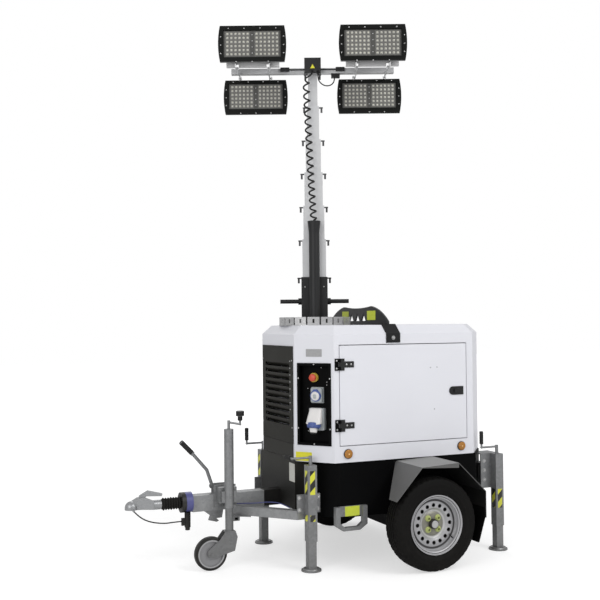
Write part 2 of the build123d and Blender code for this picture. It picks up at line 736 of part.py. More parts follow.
def build_mudguards():
    """Folded plates with a turned-down outer lip, and rubber flaps behind the wheels."""
    outer = [(AXLE_X + x, z) for x, z in MUD_PROFILE]
    offset = []
    for index, (x, z) in enumerate(outer):
        before = outer[max(index - 1, 0)]
        after = outer[min(index + 1, len(outer) - 1)]
        a1 = math.atan2(z - before[1], x - before[0]) if index else None
        a2 = math.atan2(after[1] - z, after[0] - x) if index < len(outer) - 1 else None
        a1 = a2 if a1 is None else a1
        a2 = a1 if a2 is None else a2
        turn = (a1 + a2) / 2
        reach = MUD_THICK / math.cos((a1 - a2) / 2)
        offset.append((x + reach * math.sin(turn), z - reach * math.cos(turn)))
    inner = list(reversed(offset))
    plate = side_profile(outer + inner, -MUD_OUTER, -TANK_HALF)
    (tip_x, tip_z), (fold_x, fold_z), (rear_x, rear_z) = outer[:3]
    lip = ((fold_x, fold_z), (rear_x, rear_z), (rear_x, rear_z - MUD_LIP), (fold_x, fold_z - MUD_THICK))
    plate += side_profile(lip, -MUD_OUTER, -MUD_OUTER + MUD_THICK)
    tip_y = -MUD_OUTER + MUD_TIP_WIDTH
    wedge = ((tip_x - 60, tip_y), (tip_x, tip_y), (fold_x - 8, -TANK_HALF), (fold_x - 8, -TANK_HALF + 5),
             (tip_x - 60, -TANK_HALF + 5))
    plate -= prism(wedge, tip_z - 80, fold_z + 40)
    save("mudguards", group(plate, mirrored(plate)))
    x, z = outer[-1]
    x -= MUD_THICK
    drop_x, drop_z = FLAP_DROP
    top = z + FLAP_OVERLAP
    flap_outline = ((x, top), (x, z), (x + drop_x, z + drop_z),
                    (x + drop_x - FLAP_THICK, z + drop_z), (x - FLAP_THICK, z), (x - FLAP_THICK, top))
    flap = side_profile(flap_outline, -MUD_OUTER + MUD_THICK + 2, -FLAP_INNER)
    save("mud_flaps", group(flap, mirrored(flap)))


def jack_bracket(x, y, low, high, front):
    """The plates that hold one jack's tube to the tank."""
    side = -1 if y < 0 else 1
    half = JACK_TUBE / 2
    inner = y - side * half
    y0, y1 = sorted((inner, inner - side * BRACKET_THICK))
    if front:
        plate = block(x - 78, x + 78, y0, y1, low, high)
        reach = inner - side * FRONT_ARM_REACH
        arm = block(x + 10, x + 70, *sorted((inner - side * BRACKET_THICK, reach)), low + 30, high - 20)
    else:
        plate = block(x - 108, x + half, y0, y1, low, high)
        shelf = inner - side * REAR_SHELF_REACH
        plate += block(x - 108, x + half, *sorted((inner, shelf)), high, high + 6)
        reach = inner - side * REAR_ARM_REACH
        arm = block(x - 98, x - 44, *sorted((inner - side * BRACKET_THICK, reach)), low + 20, high - 60)
    solid = plate + arm
    solid -= prism(tank_outline(), TANK_BOTTOM - 200, BODY_BOTTOM)
    solid -= block(COVER_FRONT - 1, TANK_FRONT, -COVER_HALF, COVER_HALF, 300, 700)
    return solid


def build_jacks():
    """Four jacks: outer tube, bracket and crank, then the leg that slides inside."""
    half = JACK_TUBE / 2
    tubes = {"front": [], "rear": []}
    for name, x, y, top, bottom, low, high in JACKS:
        front = x < 0
        tube = square_tube(JACK_TUBE, JACK_WALL, bottom, top - 6, x, y)
        tube += block(x - half, x + half, y - half, y + half, top - 6, top)
        tube += jack_bracket(x, y, low, high, front)
        crank_z = top + 46
        tube += rod((x, y, top - 3), (x, y, crank_z + CRANK_R + 4), 11)
        tube += rod((x, y, crank_z), (x - CRANK_ARM, y, crank_z), CRANK_R)
        turn = Vector(0, 1, 0) if name == "front_near" else Vector(0, 0, 1)
        elbow = Vector(x - CRANK_ARM, y, crank_z)
        tube += Pos(*elbow) * Sphere(CRANK_R + 1.5)
        tube += rod(elbow, elbow + turn * 26, CRANK_R)
        tube += rod(elbow + turn * 24, elbow + turn * (24 + GRIP_LENGTH), GRIP_R)
        tubes["front" if front else "rear"].append(tube)
        inner = JACK_TUBE - 2 * JACK_WALL - 2 * FIT
        leg_top = bottom + JACK_LEG_OVERLAP
        leg = square_tube(inner, 3.0, JACK_PAD_THICK, leg_top, x, y)
        leg += Pos(x, y, 0) * extrude(Circle(JACK_PAD_R), JACK_PAD_THICK)
        leg += Pos(x, y, JACK_PAD_THICK) * extrude(Circle(JACK_PAD_R - 8), 8, taper=30)
        save(f"jack_leg_{name}", leg)
    for end, pair in tubes.items():
        save(f"jack_tubes_{end}", group(*pair))


def build_drawbar():
    """Centre beam, V legs and the parts ahead of them."""
    beam = block(BEAM_FRONT, TANK_FRONT, -BEAM_HALF, BEAM_HALF, BEAM_BOTTOM, BEAM_TOP)
    wall = BEAM_WALL
    beam -= block(BEAM_FRONT + wall, TANK_FRONT - wall, -BEAM_HALF + wall, BEAM_HALF - wall,
                  BEAM_BOTTOM + wall, BEAM_TOP - wall)
    save("drawbar_beam", beam)
    legs = None
    for side in (-1, 1):
        run = Vector(LEG_END_X - LEG_START_X, side * LEG_END_Y, 0)
        angle = math.degrees(math.atan2(run.Y, run.X))
        length = run.length + 80
        leg = Pos(LEG_START_X, 0, LEG_BOTTOM + LEG_HEIGHT / 2) * Rot(0, 0, angle) * (
            Pos(length / 2 - 30, 0, 0) * Box(length, LEG_WIDTH, LEG_HEIGHT)
        )
        jack_face = abs(JACKS[0][2]) - JACK_TUBE / 2 - BRACKET_THICK
        outer = sorted((side * jack_face, side * 900))
        leg -= block(-900, 400, *outer, 0, 600)
        leg -= block(TANK_FRONT - 1, 400, *sorted((0, side * 900)), 0, 600)
        legs = leg if legs is None else legs + leg
    legs -= block(BEAM_FRONT, TANK_FRONT, -BEAM_HALF, BEAM_HALF, BEAM_BOTTOM, BEAM_TOP)
    legs -= block(COVER_FRONT - FIT, TANK_FRONT, -COVER_HALF - FIT, COVER_HALF + FIT, 0, BODY_BOTTOM)
    gusset = ((-575, -52), (-470, -130), (-470, 130), (-575, 52))
    legs += prism(gusset, LEG_BOTTOM - GUSSET_THICK, LEG_BOTTOM)
    end, before = BRAKE_WIRE_ROUTE[-1], BRAKE_WIRE_ROUTE[-2]
    legs += ferrule(end, before, 24)
    save("drawbar_legs", legs)


def build_coupling():
    """Overrun ring, bellows, shaft and ball coupling head."""
    ring_x = BEAM_FRONT - RING_LENGTH
    ring = rod((ring_x, 0, DRAWBAR_Z), (BEAM_FRONT, 0, DRAWBAR_Z), RING_R)
    ring -= rod((ring_x - 1, 0, DRAWBAR_Z), (BEAM_FRONT + 1, 0, DRAWBAR_Z), SHAFT_R + 2)
    save("overrun_ring", ring)
    boot_x = ring_x - BOOT_LENGTH
    pitch = BOOT_LENGTH / BOOT_FOLDS
    points = [(SHAFT_R + FIT, 0.0)]
    for index in range(BOOT_FOLDS):
        base = index * pitch
        points += [(BOOT_R - 9, base), (BOOT_R, base + pitch / 2)]
    points += [(BOOT_R - 9, BOOT_LENGTH), (SHAFT_R + FIT, BOOT_LENGTH)]
    boot = revolve(Plane.XZ * make_face(Polyline(*points, close=True)), axis=Axis.Z)
    save("bellows", Pos(boot_x, 0, DRAWBAR_Z) * Rot(0, 90, 0) * boot)

    head = rod((boot_x - 40, 0, DRAWBAR_Z), (BEAM_FRONT - 1, 0, DRAWBAR_Z), SHAFT_R)
    head += rod((boot_x - 46, 0, DRAWBAR_Z), (boot_x, 0, DRAWBAR_Z), 30)
    nose = Pos(BALL_X, 0, BALL_Z) * Sphere(BALL_SHELL_R + 4)
    nose &= block(BALL_X - 60, BALL_X + 60, -60, 60, BALL_Z - 12, BALL_Z + 60)
    nose += Pos(BALL_X, 0, BALL_Z - 12) * extrude(Circle(BALL_SHELL_R + 4), 12)
    outline = (
        (BALL_X, BALL_Z - 12), (BALL_X, BALL_Z + 34), (BALL_X + 40, BALL_Z + 56),
        (BALL_X + 74, BALL_Z + 60), (boot_x - 46, DRAWBAR_Z + 26), (boot_x - 46, DRAWBAR_Z - 26),
        (BALL_X + 60, BALL_Z - 14),
    )
    nose += side_profile(outline, -26, 26)
    nose -= Pos(BALL_X, 0, BALL_Z - 13) * extrude(Circle(BALL_SOCKET_R), BALL_DEPTH - 4)
    head += nose
    handle = side_profile((
        (BALL_X + 48, BALL_Z + 50), (BALL_X + 51, BALL_Z + 69), (BALL_X + 105, BALL_Z + 97),
        (BALL_X + 194, BALL_Z + 73), (BALL_X + 190, BALL_Z + 57), (BALL_X + 92, BALL_Z + 64),
        (BALL_X + 78, BALL_Z + 50),
    ), -13, 13)
    clip = ferrule(BREAKAWAY_ROUTE[0], BREAKAWAY_ROUTE[1], 22)
    save("coupling_head", head + handle + clip)

    y = BEAM_HALF + 10
    pivot = (LEVER_PIVOT[0], y, LEVER_PIVOT[1])
    elbow = (LEVER_ELBOW[0], y, LEVER_ELBOW[1])
    lever = rod(pivot, elbow, LEVER_R)
    lever += Pos(*elbow) * Sphere(LEVER_R)
    lever += rod(elbow, (LEVER_TIP[0], y, LEVER_TIP[1]), LEVER_R)
    (x0, z0), (x1, z1) = LEVER_GRIP
    lever += rod((x0, y, z0), (x1, y, z1), LEVER_R + 4)
    lever += block(-676, -560, BEAM_HALF, BEAM_HALF + 8, BEAM_BOTTOM + 10, CLAMP_PLATE_Z[1])
    lever += rod((pivot[0], BEAM_HALF + 8, pivot[2]), (pivot[0], BEAM_HALF + 22, pivot[2]), 18)
    return lever


def build_underside():
    """What hangs below the beam: the bent bracket, the square socket and the parked plug."""
    bent = side_profile(BENT_PLATE, BENT_PLATE_Y, BENT_PLATE_Y + 8)
    socket = block(*SOCKET_X, *SOCKET_Y, SOCKET_BOTTOM, LEG_BOTTOM - GUSSET_THICK)
    middle = (sum(SOCKET_X) / 2, sum(SOCKET_Y) / 2, (SOCKET_BOTTOM + LEG_BOTTOM) / 2 - 4)
    socket -= Pos(*middle) * Box(24, 60, 16)
    plug_x = sum(PLUG_X) / 2
    radius = (PLUG_X[1] - PLUG_X[0]) / 2
    y = BREAKAWAY_ROUTE[-1][1]
    plug = rod((plug_x, y, PLUG_Z[0] + 18), (plug_x, y, PLUG_Z[1]), radius)
    plug += rod((plug_x, y, PLUG_Z[0]), (plug_x, y, PLUG_Z[0] + 18), radius - 4)
    plug += block(PLUG_LUG_X, plug_x, y - 9, y + 9, *PLUG_LUG_Z)
    plug -= rod((BEAM_FRONT - RING_LENGTH - 1, 0, DRAWBAR_Z), (BEAM_FRONT + 1, 0, DRAWBAR_Z), RING_R)
    plug -= block(BEAM_FRONT, TANK_FRONT, -BEAM_HALF, BEAM_HALF, BEAM_BOTTOM, BEAM_TOP)
    return [bent, socket, plug]


def build_jockey(lever):
    """Jockey tube in its clamp, the leg that slides in it, the trailing fork and the wheel."""
    x, y = JOCKEY_X, JOCKEY_Y
    outer, wall = JOCKEY_TUBE_R, JOCKEY_TUBE_WALL
    tube = rod((x, y, JOCKEY_BOTTOM), (x, y, JOCKEY_TOP), outer)
    tube -= rod((x, y, JOCKEY_BOTTOM - 1), (x, y, JOCKEY_TOP - 6), outer - wall)
    tube += rod((x, y, JOCKEY_TOP - 3), (x, y, JOCKEY_TOP + 54), 9)
    tube += rod((x, y, JOCKEY_TOP + 42), (x + 76, y, JOCKEY_TOP + 26), CRANK_R)
    tube += Pos(x + 76, y, JOCKEY_TOP + 26) * Sphere(CRANK_R + 1.5)
    tube += rod((x + 76, y, JOCKEY_TOP + 26), (x + 76, y, JOCKEY_TOP + 58), CRANK_R)
    tube += rod((x + 76, y, JOCKEY_TOP + 50), (x + 76, y, JOCKEY_TOP + 80), KNOB_STEM_R)
    tube += rod((x + 76, y, JOCKEY_TOP + 78), (x + 76, y, JOCKEY_TOP + 110), KNOB_R)
    save("jockey_tube", tube)
    clamp = block(*CLAMP_PLATE_X, -BEAM_HALF - CLAMP_PLATE_THICK, -BEAM_HALF, *CLAMP_PLATE_Z)
    clamp += block(x - 58, x + 58, y + outer - 8, -BEAM_HALF, *CLAMP_BLOCK_Z)
    clamp += block(x - 48, x + 48, y - outer - 10, -BEAM_HALF, *CLAMP_CAP_Z)
    clamp += ferrule(BRAKE_WIRE_ROUTE[0], BRAKE_WIRE_ROUTE[1], 26)
    clamp -= rod((x, y, 300), (x, y, 600), outer + FIT)
    clamp -= block(x - 100, x + 100, y - outer - 20, y - 6, 380, 520)
    save("drawbar_fittings", group(lever, clamp, *build_underside()))
    leg_r = outer - wall - FIT
    leg = rod((x, y, JOCKEY_LEG_BOTTOM), (x, y, JOCKEY_LEG_TOP), leg_r)
    leg -= rod((x, y, JOCKEY_LEG_BOTTOM + 20), (x, y, JOCKEY_LEG_TOP + 1), leg_r - 3)
    save("jockey_leg", leg)
    top = JOCKEY_LEG_BOTTOM - FIT
    gap = JOCKEY_WHEEL_WIDTH / 2 + PANEL_GAP
    outline = (
        (x + 30, top), (x - 34, top), (x - 70, 190), (x - JOCKEY_TRAIL - 26, 126),
        (x - JOCKEY_TRAIL - 26, 88), (x - JOCKEY_TRAIL + 20, 80), (x + 26, 112),
        (x + 44, 196),
    )
    fork = side_profile(outline, y - gap - 5, y - gap) + side_profile(outline, y + gap, y + gap + 5)
    fork += block(x - 34, x + 30, y - gap - 5, y + gap + 5, top - 8, top)
    fork += rod((x - JOCKEY_TRAIL, y - gap - 9, JOCKEY_WHEEL_R), (x - JOCKEY_TRAIL, y + gap + 9, JOCKEY_WHEEL_R),
                JOCKEY_AXLE_R)
    save("jockey_fork", fork)
    half = JOCKEY_WHEEL_WIDTH / 2
    wheel = rod((x - JOCKEY_TRAIL, y - half, JOCKEY_WHEEL_R), (x - JOCKEY_TRAIL, y + half, JOCKEY_WHEEL_R),
                JOCKEY_WHEEL_R)
    wheel = fillet(wheel.edges().filter_by(GeomType.CIRCLE), 10)
    for side in (-1, 1):
        face = y + side * half
        deep = y + side * (half - 9)
        wheel -= rod((x - JOCKEY_TRAIL, face + side, JOCKEY_WHEEL_R), (x - JOCKEY_TRAIL, deep, JOCKEY_WHEEL_R), 76)
        wheel += rod((x - JOCKEY_TRAIL, deep, JOCKEY_WHEEL_R), (x - JOCKEY_TRAIL, y + side * (half + 4.7), JOCKEY_WHEEL_R), 20)
    wheel -= rod((x - JOCKEY_TRAIL, y - 60, JOCKEY_WHEEL_R), (x - JOCKEY_TRAIL, y + 60, JOCKEY_WHEEL_R),
                 JOCKEY_AXLE_R + 0.1)
    save("jockey_wheel", wheel)


def mast_place(shape):
    """Put a piece made about the mast's own axis where the mast stands."""
    return Pos(MAST_X, 0, 0) * Rot(0, 0, MAST_TURN) * shape


def flags(width, top):
    """The two small brackets at a section's top."""
    pair = []
    for side in (-1, 1):
        x0, x1 = sorted((side * width / 2, side * (width / 2 + FLAG_OUT)))
        flag = block(x0, x1, -FLAG_THICK / 2, FLAG_THICK / 2, top - FLAG_BAR, top)
        n0, n1 = sorted(side * (width / 2 + reach) for reach in FLAG_HOOK)
        flag += block(n0, n1, -FLAG_THICK / 2, FLAG_THICK / 2, top - FLAG_HEIGHT, top)
        pair.append(flag)
    return pair


def section_tube(width, bottom, top, guide_for):
    """One square section with a guide at its top for the next one."""
    tube = square_tube(width, MAST_WALL, bottom, top)
    if guide_for:
        tube += square_tube(width, (width - guide_for) / 2 - FIT, top - GUIDE_HEIGHT, top)
    for flag in flags(width, top):
        tube += flag
    return tube


def build_mast():
    """Base section with its turn plate, handles and cable tube, then the sections inside."""
    base = section_tube(BASE_WIDTH, MAST_FOOT, MAST_BASE_TOP, SECTION_WIDTHS[0])
    half = BASE_WIDTH / 2
    disc_z = ROOF_TOP + RING_PLATE + FIT
    disc = Pos(0, 0, disc_z) * extrude(Circle(DISC_R), DISC_THICK)
    disc -= block(-half + 1, half - 1, -half + 1, half - 1, disc_z - 1, disc_z + DISC_THICK + 1)
    base += disc
    for side in (-1, 1):
        base += rod((side * (half - 1), 0, HANDLE_Z), (side * HANDLE_REACH, 0, HANDLE_Z), HANDLE_R)
        base += rod((side * (half - 1), 0, HANDLE_Z), (side * (half + 22), 0, HANDLE_Z), 22)
    tube_z = disc_z + DISC_THICK
    cable = Pos(0, CABLE_TUBE_Y, tube_z) * extrude(Circle(CABLE_TUBE_R), FUNNEL_BOTTOM - tube_z)
    funnel_outer = loft([
        Pos(0, CABLE_TUBE_Y, FUNNEL_BOTTOM) * Circle(CABLE_TUBE_R),
        Pos(0, CABLE_TUBE_Y, FUNNEL_TOP) * Circle(FUNNEL_R),
    ])
    cable += funnel_outer
    for z in (1600.0, 1800.0):
        cable += block(-24, 24, CABLE_TUBE_Y, -half, z, z + 30)
    cable -= Pos(0, CABLE_TUBE_Y, tube_z + 5) * extrude(
        Circle(CABLE_TUBE_R - CABLE_TUBE_WALL), FUNNEL_TOP - tube_z
    )
    cable -= loft([
        Pos(0, CABLE_TUBE_Y, FUNNEL_BOTTOM) * Circle(CABLE_TUBE_R - CABLE_TUBE_WALL),
        Pos(0, CABLE_TUBE_Y, FUNNEL_TOP + 1) * Circle(FUNNEL_R - CABLE_TUBE_WALL),
    ])
    save("mast_base", mast_place(base + cable))
    count = len(SECTION_WIDTHS)
    for index, (width, top) in enumerate(zip(SECTION_WIDTHS, SECTION_TOPS)):
        following = SECTION_WIDTHS[index + 1] if index + 1 < count else 0.0
        section = section_tube(width, top - SECTION_LENGTH, top, following)
        save(f"mast_section_{index + 1}", mast_place(section))


def build_index_ring():
    """Flat ring on the roof with upright slotted tabs round it."""
    base = Pos(MAST_X, 0, ROOF_TOP) * extrude(Circle(RING_OUTER) - Circle(RING_INNER), RING_PLATE)
    for index in range(TAB_COUNT):
        angle = 360 / TAB_COUNT * (index + 0.5)
        tab = block(TAB_R, TAB_R + TAB_THICK, -TAB_WIDTH / 2, TAB_WIDTH / 2,
                    ROOF_TOP + RING_PLATE - 1, TAB_TOP)
        tab -= Pos(TAB_R + TAB_THICK / 2, 0, TAB_SLOT_Z) * Box(2 * TAB_THICK, *TAB_SLOT)
        base += Pos(MAST_X, 0, 0) * Rot(0, 0, angle) * tab
    save("index_ring", base)


def build_arch():
    """Lifting arch: a plate across the roof with three windows and a strap at each side."""
    x0, x1 = ARCH_X - ARCH_THICK / 2, ARCH_X + ARCH_THICK / 2
    place = Plane(origin=(x0, 0, 0), x_dir=(0, 1, 0), z_dir=(1, 0, 0))
    hump_y, saddle = 200.0, ARCH_TOP - 12
    shoulder_y = (ARCH_HALF + hump_y) / 2 + 15
    shoulder_z = ROOF_TOP + 0.69 * (ARCH_TOP - ROOF_TOP)
    with BuildSketch() as outline:
        with BuildLine():
            Line((-ARCH_HALF, ROOF_TOP), (ARCH_HALF, ROOF_TOP))
            Line((ARCH_HALF, ROOF_TOP), (ARCH_HALF, ROOF_TOP + 22))
            ThreePointArc((ARCH_HALF, ROOF_TOP + 22), (shoulder_y, shoulder_z), (hump_y, ARCH_TOP))
            ThreePointArc((hump_y, ARCH_TOP), (0, saddle), (-hump_y, ARCH_TOP))
            ThreePointArc((-hump_y, ARCH_TOP), (-shoulder_y, shoulder_z), (-ARCH_HALF, ROOF_TOP + 22))
            Line((-ARCH_HALF, ROOF_TOP + 22), (-ARCH_HALF, ROOF_TOP))
        make_face()
    plate = extrude(place * outline.sketch, ARCH_THICK, dir=(1, 0, 0))
    for index in (-1, 0, 1):
        y = index * WINDOW_PITCH
        half = WINDOW_BASE / 2
        window = ((y - half, WINDOW_Z), (y + half, WINDOW_Z), (y, WINDOW_Z + WINDOW_HEIGHT))
        plate -= cross_profile(window, x0 - 1, x1 + 1)
    save("lifting_arch", plate)
    t = STRAP_THICK
    strap = cross_profile((
        (-STRAP_INNER, ROOF_TOP), (-BODY_HALF + HIP_RUN, ROOF_TOP), (-BODY_HALF, FASCIA_TOP),
        (-BODY_HALF, STRAP_BOTTOM), (-BODY_HALF - t, STRAP_BOTTOM), (-BODY_HALF - t, FASCIA_TOP + 3),
        (-BODY_HALF + HIP_RUN - 3, ROOF_TOP + t), (-STRAP_INNER, ROOF_TOP + t),
    ), ARCH_X - STRAP_WIDTH / 2, ARCH_X + STRAP_WIDTH / 2)
    strap -= block(x0 - FIT, x1 + FIT, -ARCH_HALF - FIT, 0, ROOF_TOP - 1, ROOF_TOP + 50)
    save("arch_straps", group(strap, mirrored(strap)))


def lamp_outline():
    """Front outline of a lamp: straight top and bottom, bowed ends."""
    half, tall = LAMP_WIDTH / 2, LAMP_HEIGHT / 2
    corner = half - LAMP_BOW
    with BuildSketch() as sketch:
        with BuildLine():
            Line((-corner, tall), (corner, tall))
            ThreePointArc((corner, tall), (half, 0), (corner, -tall))
            Line((corner, -tall), (-corner, -tall))
            ThreePointArc((-corner, -tall), (-half, 0), (-corner, tall))
        make_face()
    return sketch.sketch


def build_lamp(name, x, y, z, pin_y, pin_z, upper):
    """One lamp: rim, window recess, tapered finned back and the lugs to its hinge pin."""
    front = y - LAMP_DEPTH / 2
    back = y + LAMP_DEPTH / 2
    face = Plane(origin=(x, front, z), x_dir=(1, 0, 0), z_dir=(0, -1, 0))
    outline = lamp_outline()
    housing = extrude(face * outline, -LAMP_RIM)
    rear_near = face.offset(-LAMP_RIM) * scale(outline, 0.98)
    rear_far = face.offset(-(LAMP_DEPTH - FIN_DEPTH)) * scale(outline, 0.86)
    housing += loft([rear_near, rear_far])
    pitch = LAMP_WIDTH * 0.7 / (FIN_COUNT - 1)
    for index in range(FIN_COUNT):
        fx = x + (index - (FIN_COUNT - 1) / 2) * pitch
        housing += block(fx - FIN_THICK / 2, fx + FIN_THICK / 2, front + LAMP_RIM, back,
                         z - LAMP_HEIGHT * 0.38, z + LAMP_HEIGHT * 0.38)
    window_z = z if upper else z + LOWER_WINDOW_RISE
    housing -= block(x - WINDOW_WIDTH / 2, x + WINDOW_WIDTH / 2, front - 1, front + 10,
                     window_z - WINDOW_TALL / 2, window_z + WINDOW_TALL / 2)
    lug_x = ARM_PITCH + LAMP_ARM_THICK + PANEL_GAP
    for side in (-1, 1):
        lx = x + side * lug_x
        x0, x1 = sorted((lx - LAMP_ARM_THICK / 2, lx + LAMP_ARM_THICK / 2))
        if upper:
            high = z - LAMP_HEIGHT / 2 + 30
            lug = block(x0, x1, y - 34, pin_y, pin_z - 12, pin_z + 12)
            lug += block(x0, x1, y, back - 4, pin_z - 12, high)
            lug += block(x0, x1, back - 6, pin_y + CHANNEL_DEPTH / 2, pin_z,
                         pin_z + CHANNEL_RISE + CHANNEL_WALL)
        else:
            lug = block(x0, x1, pin_y, y + 10, pin_z - 12, pin_z + 12)
            lug += block(x0, x1, front + LAMP_RIM + 4, back - 4, z + LAMP_HEIGHT / 2 - 30, pin_z + 12)
        a = x + side * (ARM_PITCH - LAMP_ARM_THICK)
        b = x + side * (lug_x + LAMP_ARM_THICK)
        lug += rod((x0, pin_y, pin_z), (x1, pin_y, pin_z), LAMP_ARM_HEIGHT / 2)
        lug += rod((a, pin_y, pin_z), (b, pin_y, pin_z), LAMP_PIN_R)
        housing += lug
    if upper:
        low, high = pin_z + CHANNEL_RISE, pin_z + CHANNEL_RISE + CHANNEL_HEIGHT
        near, far = pin_y - 10, pin_y - 10 + CHANNEL_DEPTH
        channel = block(x - CHANNEL_HALF, x + CHANNEL_HALF, near, far, low, high)
        channel -= block(x - CHANNEL_HALF - 1, x + CHANNEL_HALF + 1, near + CHANNEL_WALL, far + 1,
                         low + CHANNEL_WALL, high - CHANNEL_WALL)
        for side in (-1, 1):
            notch_x = x + side * ARM_PITCH
            channel -= block(notch_x - 9, notch_x + 7, near - 1, far + 1, low - 1, low + 15)
        housing += channel
    save(f"lamp_{name}", mast_place(housing))


def build_head():
    """Crossbar with the lamp arms, junction box, lamps and the curly cord."""
    bar_z = SECTION_TOPS[-1]
    deep = BAR_DEPTH / 2
    bar = block(-BAR_HALF, BAR_HALF, -deep, deep, bar_z, bar_z + BAR_HEIGHT)
    for lamp in (-1, 1):
        for side in (-1, 1):
            ax = lamp * LAMP_X + side * ARM_PITCH
            x0, x1 = ax - LAMP_ARM_THICK / 2, ax + LAMP_ARM_THICK / 2
            for end, pin_z in ((-1, bar_z), (1, bar_z + LOWER_PIN_RISE)):
                pin_y = end * LAMP_PIN_Y
                y0, y1 = sorted((0.0, pin_y))
                bar += block(x0, x1, y0, y1, pin_z - LAMP_ARM_HEIGHT / 2, pin_z + LAMP_ARM_HEIGHT / 2)
                bar += rod((x0, pin_y, pin_z), (x1, pin_y, pin_z), LAMP_ARM_HEIGHT / 2)
                bar -= rod((x0 - 5, pin_y, pin_z), (x1 + 5, pin_y, pin_z), LAMP_PIN_R + 0.1)
    save("crossbar", mast_place(bar))
    box = block(-BOX_HALF, BOX_HALF, -deep - BOX_DEPTH, -deep, bar_z, bar_z + BOX_HEIGHT)
    lead_z = bar_z + BAR_HEIGHT * 0.7
    for side in (-1, 1):
        x0, x1 = sorted(side * reach for reach in CONNECTOR_X)
        box += rod((side * (BOX_HALF - 5), -deep - LEAD_R - FIT, lead_z),
                   (side * CONNECTOR_X[0], -deep - LEAD_R - FIT, lead_z), LEAD_R)
        box += block(x0, x1, -deep - CONNECTOR_DEPTH, -deep, lead_z - CONNECTOR_HEIGHT / 2,
                     lead_z + CONNECTOR_HEIGHT / 2)
    start, end = LEAD_ROUTE[0], LEAD_ROUTE[-1]
    box += rod(start, (start[0], start[1], bar_z + 5), LEAD_R + 5)
    socket = block(end[0] - 22, end[0] + 36, -deep, deep, end[2], bar_z)
    save("junction_box", group(mast_place(box), mast_place(socket)))
    save("lamp_lead", mast_place(cord_tube(LEAD_ROUTE, LEAD_R)))
    for name, x in (("left", -LAMP_X), ("right", LAMP_X)):
        build_lamp(f"upper_{name}", x, -LAMP_Y, LAMP_UPPER_Z, -LAMP_PIN_Y, bar_z, True)
        build_lamp(f"lower_{name}", x, LAMP_Y, LAMP_LOWER_Z, LAMP_PIN_Y, bar_z + LOWER_PIN_RISE, False)
    run = (CURL_TOP_X, CURL_TOP_Y - CABLE_TUBE_Y, bar_z - CURL_BOTTOM_Z)
    cord = extrude(
        Pos(0, CABLE_TUBE_Y, CURL_BOTTOM_Z) * Circle(CURL_R),
        Vector(*run).length, dir=run,
    )
    save("curly_cord", mast_place(cord))


def build_small():
    """Side markers, forklift loops and the rear lamps."""
    markers = []
    loops = []
    for side in (-1, 1):
        for x in MARKER_X:
            y0 = side * BODY_HALF
            y1 = side * (BODY_HALF + MARKER_DEPTH)
            markers.append(rod((x, y0, MARKER_Z), (x, y1, MARKER_Z), MARKER_R))
        for x0, x1 in LOOP_X:
            turn_x, turn_z = LOOP_CORNER_X, LOOP_BOTTOM + LOOP_CORNER_Z
            outer = ((x0, LOOP_TOP), (x0, turn_z), (x0 + turn_x, LOOP_BOTTOM),
                     (x1 - turn_x, LOOP_BOTTOM), (x1, turn_z), (x1, LOOP_TOP))
            low = LOOP_BOTTOM + LOOP_BAND
            x2, x3 = x0 + LOOP_POST, x1 - LOOP_POST
            inner = ((x3, LOOP_TOP), (x3, turn_z + 14), (x1 - turn_x - 12, low),
                     (x0 + turn_x + 12, low), (x2, turn_z + 14), (x2, LOOP_TOP))
            loop = side_profile(outer + inner, -TANK_HALF - LOOP_THICK, -TANK_HALF)
            loop += block(x2, x3, -TANK_HALF - LOOP_PLATE_THICK, -TANK_HALF, LOOP_PLATE_Z, LOOP_TOP)
            loops.append(loop if side < 0 else mirrored(loop))
        lamp_y = side * (BODY_HALF - CORNER_Y - REAR_LAMP_HALF - 20)
        lamp = block(
            TANK_REAR, TANK_REAR + 36, lamp_y - REAR_LAMP_HALF, lamp_y + REAR_LAMP_HALF,
            LAMP_BAR_Z - REAR_LAMP_HEIGHT / 2, LAMP_BAR_Z + REAR_LAMP_HEIGHT / 2,
        )
        markers.append(lamp)
    save("forklift_loops", group(*loops))
    save("marker_lamps", group(*markers))


build_canopy()
build_roof()
build_doors()
build_louvres()
build_control_panel()
build_tank()
build_axle()
build_wheels()
build_mudguards()
build_jacks()
build_drawbar()
build_jockey(build_coupling())
build_mast()
build_index_ring()
build_arch()
build_head()
build_small()
save("breakaway_cable", cord_tube(BREAKAWAY_ROUTE, BREAKAWAY_R))
save("brake_wire", cord_tube(BRAKE_WIRE_ROUTE, BRAKE_WIRE_R))

for node, shape in NODES.items():
    export_step(shape, f"parts/{node}.step")
print(len(NODES), "nodes")
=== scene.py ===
"""Looks of the mobile light tower: finishes, lamps, cords, tyres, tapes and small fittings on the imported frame."""

import math

import bmesh
import bpy
from mathutils import Matrix, Vector


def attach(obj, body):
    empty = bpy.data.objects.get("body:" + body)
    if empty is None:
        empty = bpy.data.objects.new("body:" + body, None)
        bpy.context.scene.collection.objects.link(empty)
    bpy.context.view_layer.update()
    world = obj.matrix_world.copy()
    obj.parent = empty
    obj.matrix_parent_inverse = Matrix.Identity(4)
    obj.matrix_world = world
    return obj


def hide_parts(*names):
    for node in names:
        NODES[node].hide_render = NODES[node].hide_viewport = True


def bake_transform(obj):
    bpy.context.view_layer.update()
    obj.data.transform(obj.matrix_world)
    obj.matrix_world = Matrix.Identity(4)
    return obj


bl_info = {
    "name": "Mobile light tower",
    "version": (1, 0, 0),
    "blender": (4, 5, 0),
    "location": "3D View > Sidebar > Light tower",
    "description": "Finishes and small fittings of a mobile light tower on its packed frame",
    "category": "Add Mesh",
}

